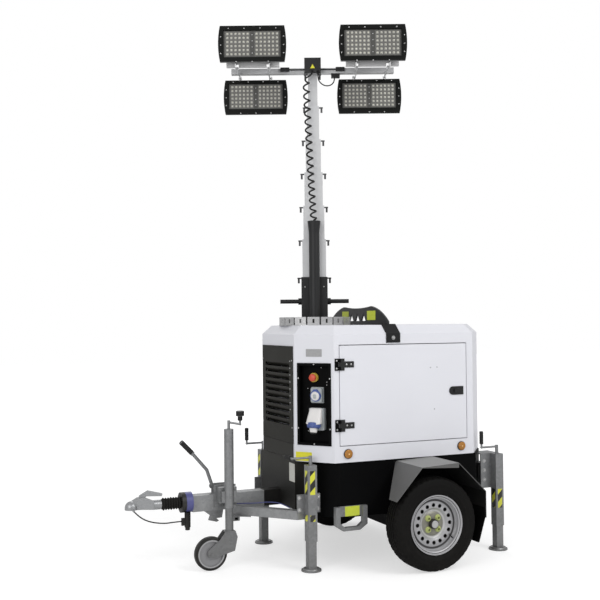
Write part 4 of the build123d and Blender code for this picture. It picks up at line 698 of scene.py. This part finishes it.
def finishes(look, pitch):
    """Every finish by its name, from the colours that the user may change."""
    paint, panel, chassis, zinc, mast, tape, marker = (tuple(getattr(look, key)) for key in look.__annotations__)

    def where(key, colour, rough):
        return [masked(MASKS[key], colour, rough)]

    def ringed(centre, *rings):
        return [masked(ring(radius, half), colour, None, centre) for radius, half, colour in rings]

    made = {
        "paint": surface("Powder coat white", *toned(paint, 1, 0.955), **COAT),
        "door": surface("Powder coat white with black hardware", *toned(paint, 1, 0.955), **COAT,
                        seen=where("hardware", BLACK, 0.5)),
        "panel": surface("Textured dark grey", *toned(panel, 1, 0.72), **TEXTURED, shine=0.2),
        # the cover's lower edge is painted near black, as painted shade
        "cover": surface("Textured dark cover", *toned(panel, 0.98, 0.7), **TEXTURED, shine=0.25,
                         seen=where("low", (0.006, 0.0058, 0.005), 0.6)),
        "chassis": surface("Satin black", *toned(chassis, 0.7, 1.3), **SATIN, dust=0.005, shine=0.04),
        "base": surface("Black mast base", *toned(chassis, 2.6, 4.2), (0.38, 0.5), grain=500, shine=0.36),
        "arch": surface("Black lifting arch", *toned(chassis, 5.0, 7.5), (0.34, 0.46), grain=500, shine=0.45),
        "strap": surface("Black strap", *toned(chassis, 1.8, 3.0), **SATIN, shine=0.25),
        "tray": surface("Black tray", *toned(BLACK, 0.6, 1.0), (0.5, 0.62), grain=500, shine=0.06),
        # the plate takes painted light on its top faces and painted shade on its inner faces
        "mudguard": surface("Grey plate", (0.115, 0.115, 0.113), (0.092, 0.092, 0.09), (0.45, 0.6), grain=300,
                            dust=0.1, shine=0.35, seen=[guard_light_and_shade]),
        "flap": surface("Black flap rubber", (0.0014, 0.0013, 0.0013), (0.0026, 0.0024, 0.0022), (0.65, 0.8),
                        grain=240, bump=0.0004, shine=0.08),
        "cast": surface("Bright cast coupling", *toned(zinc, 1.5, 1.15), (0.26, 0.42), metallic=0.6, grain=120,
                        bump=0.0006),
        "zinc": surface("Galvanised steel", *toned(zinc, 1, 0.78), **GALVANISED),
        "beam": surface("Galvanised drawbar", *toned(zinc, 1.18, 0.92), **GALVANISED),
        # the beam's last stretch is painted black, as painted shade under the front cover
        "beam_end": surface("Galvanised beam with black end", *toned(zinc, 1.18, 0.92), **GALVANISED,
                            seen=where("beam_end", BLACK, 0.6)),
        "fork": surface("Galvanised fork", *toned(zinc, 0.78, 0.62), **{**GALVANISED, "dust": 0.2}),
        "fittings": surface("Galvanised steel and black plug", *toned(zinc, 1, 0.78), **GALVANISED,
                            seen=where("plug", BLACK, 0.5)),
        "mast": surface("Drawn aluminium", *toned(mast, 1, 0.86), **DRAWN),
        "tab": surface("Bright zinc", (0.56, 0.56, 0.56), (0.4, 0.4, 0.41), (0.25, 0.42), metallic=0.6, flakes=110),
        "fastener": surface("Plated steel", (0.62, 0.62, 0.62), (0.42, 0.42, 0.42), (0.22, 0.38), metallic=0.75,
                            grain=400),
        "ring": surface("Blue painted ring", (0.085, 0.095, 0.3), (0.06, 0.065, 0.2), (0.35, 0.5), grain=200,
                        dust=0.3, seen=where("flange", BLACK, 0.5)),
        "lamp": surface("Lamp casting black", *CASTING_TONES, **CASTING),
        "plastic": surface("Black plastic", (0.012, 0.012, 0.013), (0.021, 0.021, 0.022), (0.42, 0.56), grain=600,
                           bump=0.0004, shine=0.3),
        "grip": surface("Black grip", (0.009, 0.009, 0.009), (0.017, 0.017, 0.017), (0.5, 0.65), grain=350,
                        bump=0.0005, shine=0.3),
        "rubber": surface("Black rubber", (0.0062, 0.006, 0.0056), (0.012, 0.0114, 0.0104), (0.62, 0.8), grain=240,
                          bump=0.0006, dust=0.1, shine=0.2),
        "tyre": surface("Tyre rubber", (0.0024, 0.0023, 0.0022), (0.0062, 0.0059, 0.0055), (0.55, 0.75), grain=240,
                        bump=0.0006, dust=0.03, shine=0.1),
        "boot": surface("Black boot rubber", (0.012, 0.0112, 0.0108), (0.022, 0.0205, 0.019), (0.5, 0.66),
                        grain=240, bump=0.0005, dust=0.2, shine=0.3),
        # black spots a little wider than the vent holes: painted shade of the holes
        "rim": surface("Silver rim paint", (0.46, 0.46, 0.475), (0.37, 0.37, 0.385), (0.34, 0.46), metallic=0.35,
                       grain=300, dust=0.2, coat=0.1, seen=ringed(
                           WHEEL_AXIS, (0.1455, 0.0085, (0.035, 0.035, 0.038)), (0.05, 0.034, (0.235, 0.23, 0.19)),
                           (0.0825, 0.006, (0.56, 0.56, 0.565))
                       ) + [masked(spots(16, 0.115, 0.013), (0.002, 0.002, 0.002), None, WHEEL_AXIS)]),
        "lime": surface("Yellow-green label", (0.66, 0.74, 0.05), (0.52, 0.6, 0.04), (0.4, 0.55), grain=90,
                        dust=0.3),
        "grey_label": surface("Grey label", (0.38, 0.38, 0.385), (0.3, 0.3, 0.305), (0.3, 0.42), metallic=0.3,
                              grain=90),
        "amber": surface("Amber lens", *toned(marker, 1, 0.62), (0.12, 0.24), grain=260, coat=0.3),
        "amber_dark": surface("Amber groove", *toned(marker, 0.62, 0.45), (0.12, 0.24), grain=260, coat=0.3),
        "tape": surface("Warning tape", *toned(tape, 1, 0.8), (0.32, 0.46), grain=120, dust=0.3,
                        seen=[masked(bars(pitch), (0.012, 0.012, 0.012))]),
        "jockey": surface("Jockey wheel", (0.3, 0.3, 0.31), (0.22, 0.22, 0.23), (0.4, 0.55), metallic=0.3, grain=300,
                          dust=0.1, seen=ringed(JOCKEY_AXIS, (0.0825, 0.0045, (0.42, 0.42, 0.43)),
                                                (0.098, 0.015, (0.003, 0.003, 0.003)))),
    }
    for key, label, colour, shade, rough, grain, coat in PLAIN:
        made[key] = surface(label, colour, shade, rough, grain=grain, coat=coat)
    for section, half in enumerate(SECTION_HALVES, 1):
        made[f"mast_{section}"] = surface(f"Drawn aluminium section {section}", *toned(mast, 1, 0.86), **DRAWN,
                                          seen=[masked(flags(half), (0.075, 0.075, 0.078), 0.5)])
    for key in ("lamp_upper", "lamp_lower"):
        made[key] = surface(f"Lamp casting black and bracket {key}", *CASTING_TONES, **CASTING,
                            seen=where(key, (0.6, 0.6, 0.605), 0.4))
    return made


class TOWER_OT_finishes(bpy.types.Operator):
    """Procedural finishes, and the better material of every carried-over node"""

    bl_idname = "tower.finishes"
    bl_label = "Finishes"

    def execute(self, context):
        MATERIALS.update(finishes(context.scene.tower_finishes, context.scene.tower_sizes.tape_pitch))
        for finish, names in DRESSED.items():
            for name in names.split():
                for slot in NODES[name].material_slots:
                    slot.material = MATERIALS[finish]
        return {"FINISHED"}


class TOWER_OT_curly_cord(bpy.types.Operator):
    """The curly cord from the junction box down into the cable tube"""

    bl_idname = "tower.curly_cord"
    bl_label = "Curly cord"

    def execute(self, context):
        sizes = context.scene.tower_sizes
        line = smooth_line([MAST @ Vector(point) for point in (
            (0.0, -0.065, 3.216), (-0.006, -0.066, 3.19), (-0.042, -0.08, 3.172), (-0.044, -0.083, 3.12),
            (-0.035, -0.093, 2.9), (-0.021, -0.11, 2.56), (-0.005, -0.128, 2.26), (0.0, -0.13, 2.205),
            (0.01, -0.13, 2.15),
        )])
        total = length_of(line)
        # straight stretches at both ends, and the turns between them
        first, last = 0.055, total - 0.035
        spacing, sample_count, ease_rate = 0.012, 420, 24
        samples = []
        for start, end in zip(line, line[1:]):
            run = (end - start).length
            count = max(1, round(run / (total / sample_count)))
            for step in range(count):
                samples.append((start.lerp(end, step / count), run / count, (end - start).normalized()))
        controls, travelled = [line[0]], 0.0
        side = MAST.to_3x3() @ Vector((0, -1, 0))
        for point, run, ahead in samples[1:]:
            travelled += run
            side = (side - ahead * side.dot(ahead)).normalized()
            if first < travelled < last:
                share = (travelled - first) / (last - first)
                # the turns lie a little closer towards the lower end
                angle = 2 * math.pi * sizes.curl_turns * (0.875 * share + 0.125 * share * share)
                ease = min(1.0, share * ease_rate, (1 - share) * ease_rate)
                offset = side * math.cos(angle) + ahead.cross(side) * math.sin(angle)
                controls.append(point + offset * sizes.curl_radius * ease)
            elif travelled <= first and int(travelled / spacing) != int((travelled - run) / spacing):
                controls.append(point)
        controls.append(line[-1])
        made = cord_piece("curly_cable", smooth_line(controls), sizes.cable_diameter / 2, "grip", None,
                          "curly_cord", 10)
        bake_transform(made)
        return {"FINISHED"}


class TOWER_OT_lamps(bpy.types.Operator):
    """LED windows, lenses and rim screws of the four lamps"""

    bl_idname = "tower.lamps"
    bl_label = "Lamps"

    def execute(self, context):
        columns, rows = context.scene.tower_sizes.led_columns, context.scene.tower_sizes.led_rows
        pitch_x, pitch_z, half_gap = 0.0266, 0.0268, 0.016
        window, window_face, rim_face = (0.374, 0.174, 0.004), 0.025, 0.035
        for name, x, y, z in LAMPS:
            place = MAST @ facing((x, y - window_face, z), (0, -1, 0))
            bm = bmesh.new()
            plate(bm, outline(*window), place, 0.002, 0.0005, 5)
            for row in range(rows):
                up = (row - (rows - 1) / 2) * pitch_z
                for column in range(columns):
                    for side in (-1, 1):
                        spot = moved(place, side * (half_gap + (column + 0.5) * pitch_x), up, 0.002)
                        plate(bm, outline(0.015, 0.015, 0.003, 2), spot, 0.0015, 0.0006, 1)
                        lathe(bm, ((0.0068, 0.001), (0.0066, 0.0038), (0.0048, 0.0058), (0.0024, 0.0066), (0, 0.0068)),
                              spot, 12, 1)
                        lathe(bm, ((0.0022, 0.0064), (0.0018, 0.0072), (0, 0.0074)), spot, 8, 2)
            for side in (-1, 1):
                panel = moved(place, side * (half_gap + columns * pitch_x / 2), 0, 0.0018)
                plate(bm, outline(columns * pitch_x + 0.002, rows * pitch_z + 0.003, 0.003), panel, 0.0012, 0.0004, 3)
            for up in (-0.06, -0.02, 0.02, 0.06):
                dome_screw(bm, moved(place, 0, up, 0.002), 0.0036, 4)
            piece(f"leds_{name}", bm, ["lamp", "led_lens", "led_chip", "led_board", "fastener", "led_frame"],
                  f"lamp_{name}")

            bm = bmesh.new()
            rim = MAST @ facing((x, y - rim_face, z - 0.008), (0, -1, 0))
            screws = [(side * across, 0.109) for side in (-1, 1) for across in (0.052, 0.155)]
            screws += [(across, -0.109) for across in (-0.105, 0.0, 0.105)]
            screws += [(side * 0.205, up) for side in (-1, 1) for up in (-0.055, 0.0, 0.055)]
            for across, up in screws:
                dome_screw(bm, moved(rim, across, up, 0), 0.0042)
            outer, inner = outline(0.392, 0.192, 0.008), outline(0.38, 0.18, 0.005)
            skin(bm, [points_at(bm, moved(rim, 0, 0.008, 0), [(*point, depth) for point in points])
                      for points, depth in ((outer, 0.0), (outer, 0.0016), (inner, 0.0016), (inner, 0.0))], 1)
            piece(f"lamp_trim_{name}", bm, ["fastener", "lamp"], f"lamp_{name}")
        return {"FINISHED"}


class TOWER_OT_tapes(bpy.types.Operator):
    """Warning tapes on the faces of the jack tubes"""

    bl_idname = "tower.tapes"
    bl_label = "Jack tapes"

    def execute(self, context):
        half = 0.03
        for end, bands in (("front", ((0.471, 0.618), (0.306, 0.346))), ("rear", ((0.282, 0.408),))):
            bm = bmesh.new()
            for x, y in JACKS[end]:
                for low, high in bands:
                    for wx, wy in ((1, 0), (-1, 0), (0, 1), (0, -1)):
                        face = facing((x + wx * half, y + wy * half, (low + high) / 2), (wx, wy, 0))
                        plate(bm, outline(0.034, high - low, 0.001, 2), face, 0.0006, 0.0002)
            piece(f"jack_tapes_{end}", bm, ["tape"], "root")
        return {"FINISHED"}


class TOWER_OT_grips(bpy.types.Operator):
    """Black sleeves on the cranks, the jockey handle and the hand brake lever"""

    bl_idname = "tower.grips"
    bl_label = "Grips"

    def execute(self, context):
        bm = bmesh.new()
        lever = Vector((-0.079, 0, 0.082)).normalized()
        handles = []
        for end, crank in (("front", 0.697), ("rear", 0.688)):
            for x, y in JACKS[end]:
                way = Vector((0, 1, 0) if end == "front" and y < 0 else (0, 0, 1))
                handles.append((Vector((x - 0.122, y, crank)) + way * 0.023, way, 0.087, 0.0135))
        handles.append((Vector((-0.796, 0.05, 0.701)) + lever * 0.01, lever, 0.106, 0.0165))
        for start, way, length, radius in handles:
            rows = [(0, 0), (radius * 0.85, 0), (radius, radius * 0.2)]
            for groove in range(5):
                low = length * (0.15 + 0.14 * groove)
                rows += [(radius, low), (radius * 0.93, low + 0.0015), (radius * 0.93, low + 0.004),
                         (radius, low + 0.0055)]
            rows += [(radius, length - radius * 0.5), (radius * 0.8, length - radius * 0.12), (0, length)]
            lathe(bm, rows, facing(start, way, (1, 0, 0) if abs(way[2]) > 0.5 else (0, 0, 1)), 24)
        knob = ((0, 0), (0.0148, 0), (0.0152, 0.002), (0.0152, 0.029), (0.0246, 0.0295), (0.026, 0.0315),
                (0.0262, 0.056), (0.0245, 0.06), (0.0205, 0.0615), (0, 0.0622))
        lathe(bm, knob, facing((-0.538, -0.126, 0.9183), (0, 0, 1), (1, 0, 0)), 28)
        piece("grips", bm, ["grip"], "root", 40)
        return {"FINISHED"}


class TOWER_OT_cords(bpy.types.Operator):
    """The breakaway cable, the blue brake wire and the lamp lead"""

    bl_idname = "tower.cords"
    bl_label = "Hanging cords"

    def execute(self, context):
        breakaway = (
            (-1.197, -0.042, 0.386), (-1.167, -0.04, 0.352), (-1.104, -0.036, 0.315),
            (-1.011, -0.032, 0.295), (-0.943, -0.03, 0.298), (-0.896, -0.03, 0.298),
        )
        brake = (
            (-0.54, -0.062, 0.384), (-0.5, -0.096, 0.389), (-0.44, -0.14, 0.392),
            (-0.38, -0.192, 0.404), (-0.328, -0.236, 0.402), (-0.292, -0.268, 0.388),
            (-0.268, -0.29, 0.372),
        )
        lead = [MAST @ Vector(point) for point in (
            (0.036, -0.062, 3.199), (0.036, -0.062, 3.165), (0.051, -0.056, 3.139), (0.077, -0.045, 3.124),
            (0.107, -0.032, 3.124), (0.133, -0.019, 3.139), (0.148, -0.012, 3.165), (0.148, -0.012, 3.188),
        )]
        for name, route, radius, finish, slot, body, node, stiffness in (
            ("breakaway_line", breakaway, 0.004, "grip", "rubber", "root", "breakaway_cable", "medium"),
            ("brake_line", brake, 0.003, "blue_wire", "blue_sheath", "root", "brake_wire", "medium"),
            ("lead_line", lead, 0.004, "grip", "rubber", "mast_head", "lamp_lead", "limp"),
        ):
            cord_piece(name, smooth_line(route), radius, finish, body, node)
        return {"FINISHED"}


class TOWER_OT_tyres(bpy.types.Operator):
    """Tyres with their tread, and the bolt rings, caps and valves of the rims"""

    bl_idname = "tower.tyres"
    bl_label = "Tyres and rims"

    def execute(self, context):
        depth = context.scene.tower_sizes.tread_depth
        wall = [(0.1685, 0.06), (0.1705, 0.066), (0.186, 0.0685), (0.19, 0.0715), (0.193, 0.0715), (0.196, 0.0735),
                (0.212, 0.0775), (0.214, 0.0785), (0.218, 0.0785), (0.22, 0.0782), (0.236, 0.0782),
                (0.24, 0.0788), (0.246, 0.0784), (0.249, 0.0772), (0.262, 0.0748), (0.27, 0.0722), (0.2765, 0.069)]
        shoulder = [(0.28, 0.0655), (0.2835, 0.06), (0.2865, 0.053), (0.288, 0.045)]
        ribs = [(0.2882, 0.039), (0.2882 - depth, 0.0375), (0.2882 - depth, 0.0315), (0.2884, 0.03),
                (0.2888, 0.016), (0.2888 - depth, 0.0145), (0.2888 - depth, 0.0085), (0.289, 0.007)]
        half = [(r, w, part) for part, rows in enumerate((wall, shoulder, ribs)) for r, w in rows]
        full = half + [(r, -w, part) for r, w, part in reversed(half)]
        steps, bolt_circle = 168, 0.049
        for name, middle in WHEEL_SIDES.items():
            centre = Vector((WHEEL_AXIS[0], middle, WHEEL_AXIS[2]))
            bm = bmesh.new()
            rings = []
            for step in range(steps):
                angle = 2 * math.pi * step / steps
                # cuts between the shoulder's blocks, and ribs that wave from side to side
                cut = depth * 0.8 if step % 4 == 0 else 0
                wave = 0.0014 if step % 8 < 4 else -0.0014
                rings.append([bm.verts.new(centre + Vector((
                    (r - cut * (part == 1)) * math.cos(angle), w + wave * (part == 2),
                    (r - cut * (part == 1)) * math.sin(angle),
                ))) for r, w, part in full])
            skin(bm, rings + rings[:1], closed=False)
            piece(f"tyre_tread_{name}", bm, ["tyre"], f"wheel_{name}", 28, f"tyre_{name}")

            side = -1 if name == "near" else 1
            face = facing(centre + Vector((0, side * 0.04, 0)), (0, side, 0))
            disc = moved(face, 0, 0, -0.0205)
            bm = bmesh.new()
            for nut in range(4):
                angle = math.radians(45 + 90 * nut)
                spot = moved(disc, bolt_circle * math.cos(angle), bolt_circle * math.sin(angle), 0)
                lathe(bm, ((0.0192, 0.0), (0.0192, 0.008), (0.018, 0.01), (0.0135, 0.0115), (0.012, 0.0185),
                           (0.0112, 0.0195), (0.0082, 0.0195), (0.008, 0.018)), spot, 28, 0)
                lathe(bm, ((0.0081, 0.0178), (0.0072, 0.0188), (0, 0.019)), spot, 6, 2)
            lathe(bm, ((0.03, 0), (0.0298, 0.006)), disc, 40, 4)
            lathe(bm, ((0.0298, 0.006), (0.029, 0.026), (0.0268, 0.0292), (0.0222, 0.0297)), disc, 40, 5)
            lathe(bm, ((0.0232, 0.029), (0.0226, 0.0325), (0.0165, 0.035), (0, 0.0356)), disc, 40, 1)
            lathe(bm, ((0.066, -0.036), (0.15, -0.036), (0.152, -0.034), (0.152, -0.003), (0.148, 0), (0.066, 0)),
                  moved(disc, 0, 0, -0.03), 56, 4)
            lathe(bm, ((0.0055, 0), (0.005, 0.012), (0.0036, 0.014), (0.0036, 0.026), (0.0042, 0.027), (0.0042, 0.034),
                       (0, 0.035)), turned(moved(face, 0.118, -0.075, -0.012), 28.64789, "X"), 14, 3)
            piece(f"rim_trim_{name}", bm, ["wheel_cap", "fastener", "olive", "plastic", "chassis", "boot"],
                  f"wheel_{name}")
        return {"FINISHED"}


class TOWER_OT_outlets(bpy.types.Operator):
    """Socket outlets, the yellow ring behind the stop button and the panel's screws"""

    bl_idname = "tower.outlets"
    bl_label = "Control panel"

    def execute(self, context):
        back = moved(CORNER, 0, 0, -0.04)
        # the small socket with its round cover
        bm = bmesh.new()
        small = moved(back, 0.008, 1.078, 0)
        plate(bm, outline(0.086, 0.1, 0.006), small, 0.01, 0.002, 0)
        plate(bm, outline(0.078, 0.092, 0.01), moved(small, 0, 0, 0.01), 0.024, 0.008, 0)
        tilt = turned(moved(small, 0, -0.002, 0.028), 8, "X")
        lathe(bm, ((0.036, 0), (0.036, 0.012), (0.034, 0.015), (0.029, 0.015), (0.029, 0.008)), tilt, 40, 1)
        lathe(bm, ((0.0285, 0.004), (0.0285, 0.018), (0.026, 0.022), (0.014, 0.0235), (0, 0.0235)), tilt, 40, 2)
        plate(bm, outline(0.02, 0.026, 0.004), moved(tilt, 0, 0, 0.022), 0.006, 0.002, 0)
        plate(bm, outline(0.03, 0.01, 0.003), moved(tilt, 0, 0.036, 0.004), 0.012, 0.002, 1)
        for u in (-0.034, 0.034):
            for v in (-0.041, 0.041):
                dome_screw(bm, moved(small, u, v, 0.01), 0.0036, 3)
        # the large socket with its hood, nose and cap
        large = moved(back, 0.012, 0.925, 0)
        plate(bm, outline(0.104, 0.138, 0.008), moved(large, -0.001, 0.004, 0), 0.034, 0.006, 0)
        hood = moved(large, -0.004, 0.008, 0)
        rings = []
        for height, behind, front, half_width in (
            (0.066, 0.02, 0.036, 0.036), (0.06, 0.018, 0.048, 0.041), (0.03, 0.02, 0.066, 0.044),
            (-0.004, 0.026, 0.082, 0.047), (-0.026, 0.03, 0.092, 0.049), (-0.03, 0.032, 0.092, 0.046),
        ):
            corners = outline(2 * half_width, front - behind, min(0.02, (front - behind) * 0.45), 5)
            rings.append(points_at(bm, hood, [(px, height, (behind + front) / 2 + py) for px, py in corners]))
        skin(bm, rings, 2)
        for end in (rings[0], rings[-1]):
            bm.faces.new(end).material_index = 2
        nose = turned(moved(hood, 0, -0.026, 0.062), 78, "X")
        lathe(bm, ((0.03, -0.004), (0.04, 0.0), (0.0405, 0.024), (0.036, 0.03), (0.03, 0.032)), nose, 40, 1)
        for rib in range(12):
            place = turned(nose, 30 * rib, "Z") @ facing((0.0395, 0, 0.012), (1, 0, 0))
            plate(bm, outline(0.009, 0.022, 0.003, 2), place, 0.0035, 0.0015, 1)
        lathe(bm, ((0.0255, 0.026), (0.024, 0.044), (0.0225, 0.054), (0.0185, 0.058), (0.0, 0.058)), nose, 32, 2)
        lathe(bm, ((0.0175, 0.0575), (0.0165, 0.066), (0, 0.0665)), nose, 20, 4)
        for u in (-0.047, 0.045):
            for v in (-0.058, 0.066):
                dome_screw(bm, moved(large, u, v, 0.034), 0.004, 3)
        piece("socket_outlets", bm, ["outlet_grey", "outlet_blue", "outlet_white", "fastener", "plastic"],
              "root", node="outlets")

        bm = bmesh.new()
        stop = moved(back, -0.016, 1.188, 0)
        lathe(bm, ((0.0292, 0), (0.0292, 0.012), (0.0278, 0.014), (0.013, 0.0145), (0.013, 0.025)), stop, 44, 1)
        lathe(bm, ((0.0128, 0.024), (0.0222, 0.025), (0.0236, 0.028), (0.023, 0.034), (0.0185, 0.0385), (0.009, 0.0408),
                   (0, 0.0412)), stop, 44, 0)
        piece("stop_mushroom", bm, ["red", "ochre"], "root", node="stop_button")

        bm = bmesh.new()
        flange = moved(CORNER, 0, 0, 0.004)
        for u, v in ((-0.109, 1.184), (-0.109, 0.871), (0.109, 1.184), (0.109, 0.871), (0, 1.272), (0, 0.775)):
            dome_screw(bm, moved(flange, u, v, 0), 0.0052)
        for u, v in ((0.032, 1.25), (-0.062, 1.118), (0.07, 1.16), (0.07, 1.142), (-0.06, 0.85)):
            dome_screw(bm, moved(back, u, v, 0), 0.0035)
        piece("panel_screws", bm, ["fastener"], "root")
        return {"FINISHED"}


class TOWER_OT_labels(bpy.types.Operator):
    """Bare plates and labels"""

    bl_idname = "tower.labels"
    bl_label = "Plates"

    def execute(self, context):
        bm = bmesh.new()
        for width, height, radius, place, thick, bevel, index in (
            (0.11, 0.048, 0.003, moved(CORNER, 0.000, 1.3435, 0), 0.0015, 0.0006, 0),
            (0.112, 0.056, 0.004, moved(CORNER, -0.075, 0.694, 0), 0.001, 0.0004, 1),
            (0.088, 0.116, 0.003, front_of(FRONT_FACE, -0.24, 0.586), 0.001, 0.0004, 2),
            (0.117, 0.062, 0.004, front_of(0.365, -0.205, 1.578), 0.0016, 0.0006, 3),
            (0.099, 0.062, 0.004, front_of(0.365, 0.178, 1.578), 0.0016, 0.0006, 3),
            (0.101, 0.061, 0.003, side_of(0.072, -0.479, 0.359), 0.0012, 0.0005, 3),
        ):
            plate(bm, outline(width, height, radius, 3), place, thick, bevel, index)
        piece("plates", bm, ["grey_label", "yellow", "white_label", "lime"], "root")

        bm = bmesh.new()
        plate(bm, outline(0.0235, 0.0155, 0.0005, 2), side_of(-0.5435, -0.053, 0.288), 0.001, 0.0003)
        piece("socket_back", bm, ["chassis"], "root")

        bm = bmesh.new()
        corners = [math.radians(90 + 120 * corner) for corner in range(3)]
        triangle = [(0.0185 * math.cos(t), 0.0185 * math.sin(t) - 0.004) for t in corners]
        plate(bm, triangle, MAST @ side_of(0, -0.1102, BOX_MIDDLE), 0.0012, 0.0005)
        piece("box_label", bm, ["yellow"], "mast_head")
        return {"FINISHED"}


class TOWER_OT_fasteners(bpy.types.Operator):
    """Bolts and screws on panels, hinges, straps, brackets and the mast's base"""

    bl_idname = "tower.fasteners"
    bl_label = "Fasteners"

    def execute(self, context):
        bm = bmesh.new()
        for screw in range(8):
            dome_screw(bm, front_of(FRONT_FACE, -0.221, 0.981 + 0.0439 * screw), 0.0048)
        for y in (-0.25, 0.25):
            for z in (0.868, 1.293):
                dome_screw(bm, front_of(FRONT_FACE, y, z), 0.0052)
        for side in (-1, 1):
            hex_bolt(bm, side_of(0.371, side * 0.491, 1.433), 0.0075)
            for hinge in HINGES:
                for offset in (-0.024, 0.024):
                    dome_screw(bm, side_of(-0.032, side * HINGE_FACE, hinge + offset), 0.006)
            for x, z in ((0.647, 1.235), (0.696, 1.237), (0.673, 0.966)):
                lathe(bm, ((0.0042, -0.0004), (0.0042, 0.0004), (0.003, 0.0006), (0.0026, -0.0002), (0, -0.0002)),
                      side_of(x, side * SIDE_FACE, z), 12, 1)
            for x, y, z, size in (
                (-0.24, 0.374, 0.446, 0.0075), (-0.24, 0.374, 0.372, 0.0075), (-0.114, 0.374, 0.446, 0.0075),
                (-0.114, 0.374, 0.372, 0.0075), (1.098, 0.421, 0.592, 0.0075), (1.098, 0.421, 0.53, 0.0075),
                (1.098, 0.421, 0.467, 0.0075), (0.822, 0.505, 0.33, 0.006),
            ):
                hex_bolt(bm, side_of(x, side * y, z), size)
        piece("body_bolts", bm, ["fastener", "chassis"], "root")

        for name, side in (("near", -1), ("far", 1)):
            bm = bmesh.new()
            for hinge in HINGES:
                for x in (0.036, 0.068):
                    dome_screw(bm, side_of(x, side * HINGE_FACE, hinge), 0.006)
            piece(f"hinge_screws_{name}", bm, ["fastener"], f"door_{name}")

        bm = bmesh.new()
        for x in (-0.062, 0.062):
            for y in (-0.087, 0.087):
                dome_screw(bm, MAST @ side_of(x, y, 1.771), 0.0048)
        piece("mast_screws", bm, ["fastener"], "mast_base")
        return {"FINISHED"}


class TOWER_OT_markers(bpy.types.Operator):
    """Amber side markers and red rear lamps"""

    bl_idname = "tower.markers"
    bl_label = "Markers"

    def execute(self, context):
        bm = bmesh.new()
        rim, band = 0.0262, 0.0038
        for side in (-1, 1):
            for x in (0.0435, 0.8739):
                place = side_of(x, side * SIDE_FACE, 0.7153)
                lathe(bm, ((0.03, 0.0), (0.03, 0.006), (0.0285, 0.0075), (0.027, 0.0078)), place, 40, 2)
                lathe(bm, ((0.0272, 0.007), (0.027, 0.0105), (rim, 0.0112)), place, 40, 3)
                for groove in range(6):
                    outer, inner = rim - groove * band, rim - groove * band - band
                    lift, rise = (0.0172 - 0.006 * (radius / rim) ** 2 for radius in (outer, inner))
                    lathe(bm, ((outer, lift), (outer - 0.0009, lift + 0.0009), (inner, rise)), place, 40,
                          3 if groove % 2 else 0)
                # a small bright dome in the lens's middle: a painted highlight
                lathe(bm, ((0.005, 0.0168), (0.0042, 0.018), (0.0024, 0.0188), (0, 0.019)), place, 24, 4)
            lamp = facing((1.137, side * 0.195, 0.56), (1, 0, 0))
            plate(bm, outline(0.12, 0.1, 0.01), lamp, 0.014, 0.003, 2)
            for u, index in ((-0.0285, 0), (0.0285, 1)):
                plate(bm, outline(0.053, 0.088, 0.006), moved(lamp, u * side, 0, 0.014), 0.021, 0.006, index)
        piece("marker_lenses", bm, ["amber", "lens_red", "plastic", "amber_dark", "amber_core"], "root",
              node="marker_lamps")
        return {"FINISHED"}


class TOWER_OT_bellows(bpy.types.Operator):
    """Rubber bellows in two groups of folds"""

    bl_idname = "tower.bellows"
    bl_label = "Bellows"

    def execute(self, context):
        rows = [(0.0225, -1.0205), (0.03, -1.0205), (0.031, -1.015)]
        for fold in range(7):
            crest = 0.0385 if fold % 3 else 0.04
            x = -1.013 + fold * 0.0168
            rows += [(0.0295, x), (crest - 0.002, x + 0.0052), (crest, x + 0.0078), (crest - 0.002, x + 0.0104)]
        rows += [(0.0295, -0.897), (0.034, -0.8955), (0.0225, -0.8955)]
        bm = bmesh.new()
        lathe(bm, rows, turned(Matrix.Translation((0, 0, 0.41)), 90, "Y"), 48)
        piece("bellows_folds", bm, ["rubber"], "root", 50, "bellows")
        return {"FINISHED"}


class TOWER_PT_panel(bpy.types.Panel):
    """The tower's finishes, sizes and pieces"""

    bl_label = "Light tower"
    bl_idname = "TOWER_PT_panel"
    bl_space_type = "VIEW_3D"
    bl_region_type = "UI"
    bl_category = "Light tower"

    def draw(self, context):
        for group in (context.scene.tower_finishes, context.scene.tower_sizes):
            for name in group.__annotations__:
                self.layout.prop(group, name)
        for operator in OPERATORS:
            self.layout.operator(operator.bl_idname)


OPERATORS = (
    TOWER_OT_stage, TOWER_OT_finishes, TOWER_OT_curly_cord, TOWER_OT_cords, TOWER_OT_lamps, TOWER_OT_tapes,
    TOWER_OT_grips, TOWER_OT_tyres, TOWER_OT_outlets, TOWER_OT_labels, TOWER_OT_fasteners, TOWER_OT_markers,
    TOWER_OT_bellows,
)
CLASSES = (TowerFinishes, TowerSizes, *OPERATORS, TOWER_PT_panel)


def register():
    """Register the classes and the two property groups."""
    for cls in CLASSES:
        bpy.utils.register_class(cls)
    bpy.types.Scene.tower_finishes = bpy.props.PointerProperty(type=TowerFinishes)
    bpy.types.Scene.tower_sizes = bpy.props.PointerProperty(type=TowerSizes)


def unregister():
    """Undo what register does."""
    del bpy.types.Scene.tower_finishes
    del bpy.types.Scene.tower_sizes
    for cls in reversed(CLASSES):
        bpy.utils.unregister_class(cls)


def main():
    """Make every piece in order."""
    register()
    for operator in OPERATORS:
        family, name = operator.bl_idname.split(".")
        getattr(getattr(bpy.ops, family), name)()
    bpy.context.view_layer.update()


if __name__ == "__main__":
    main()
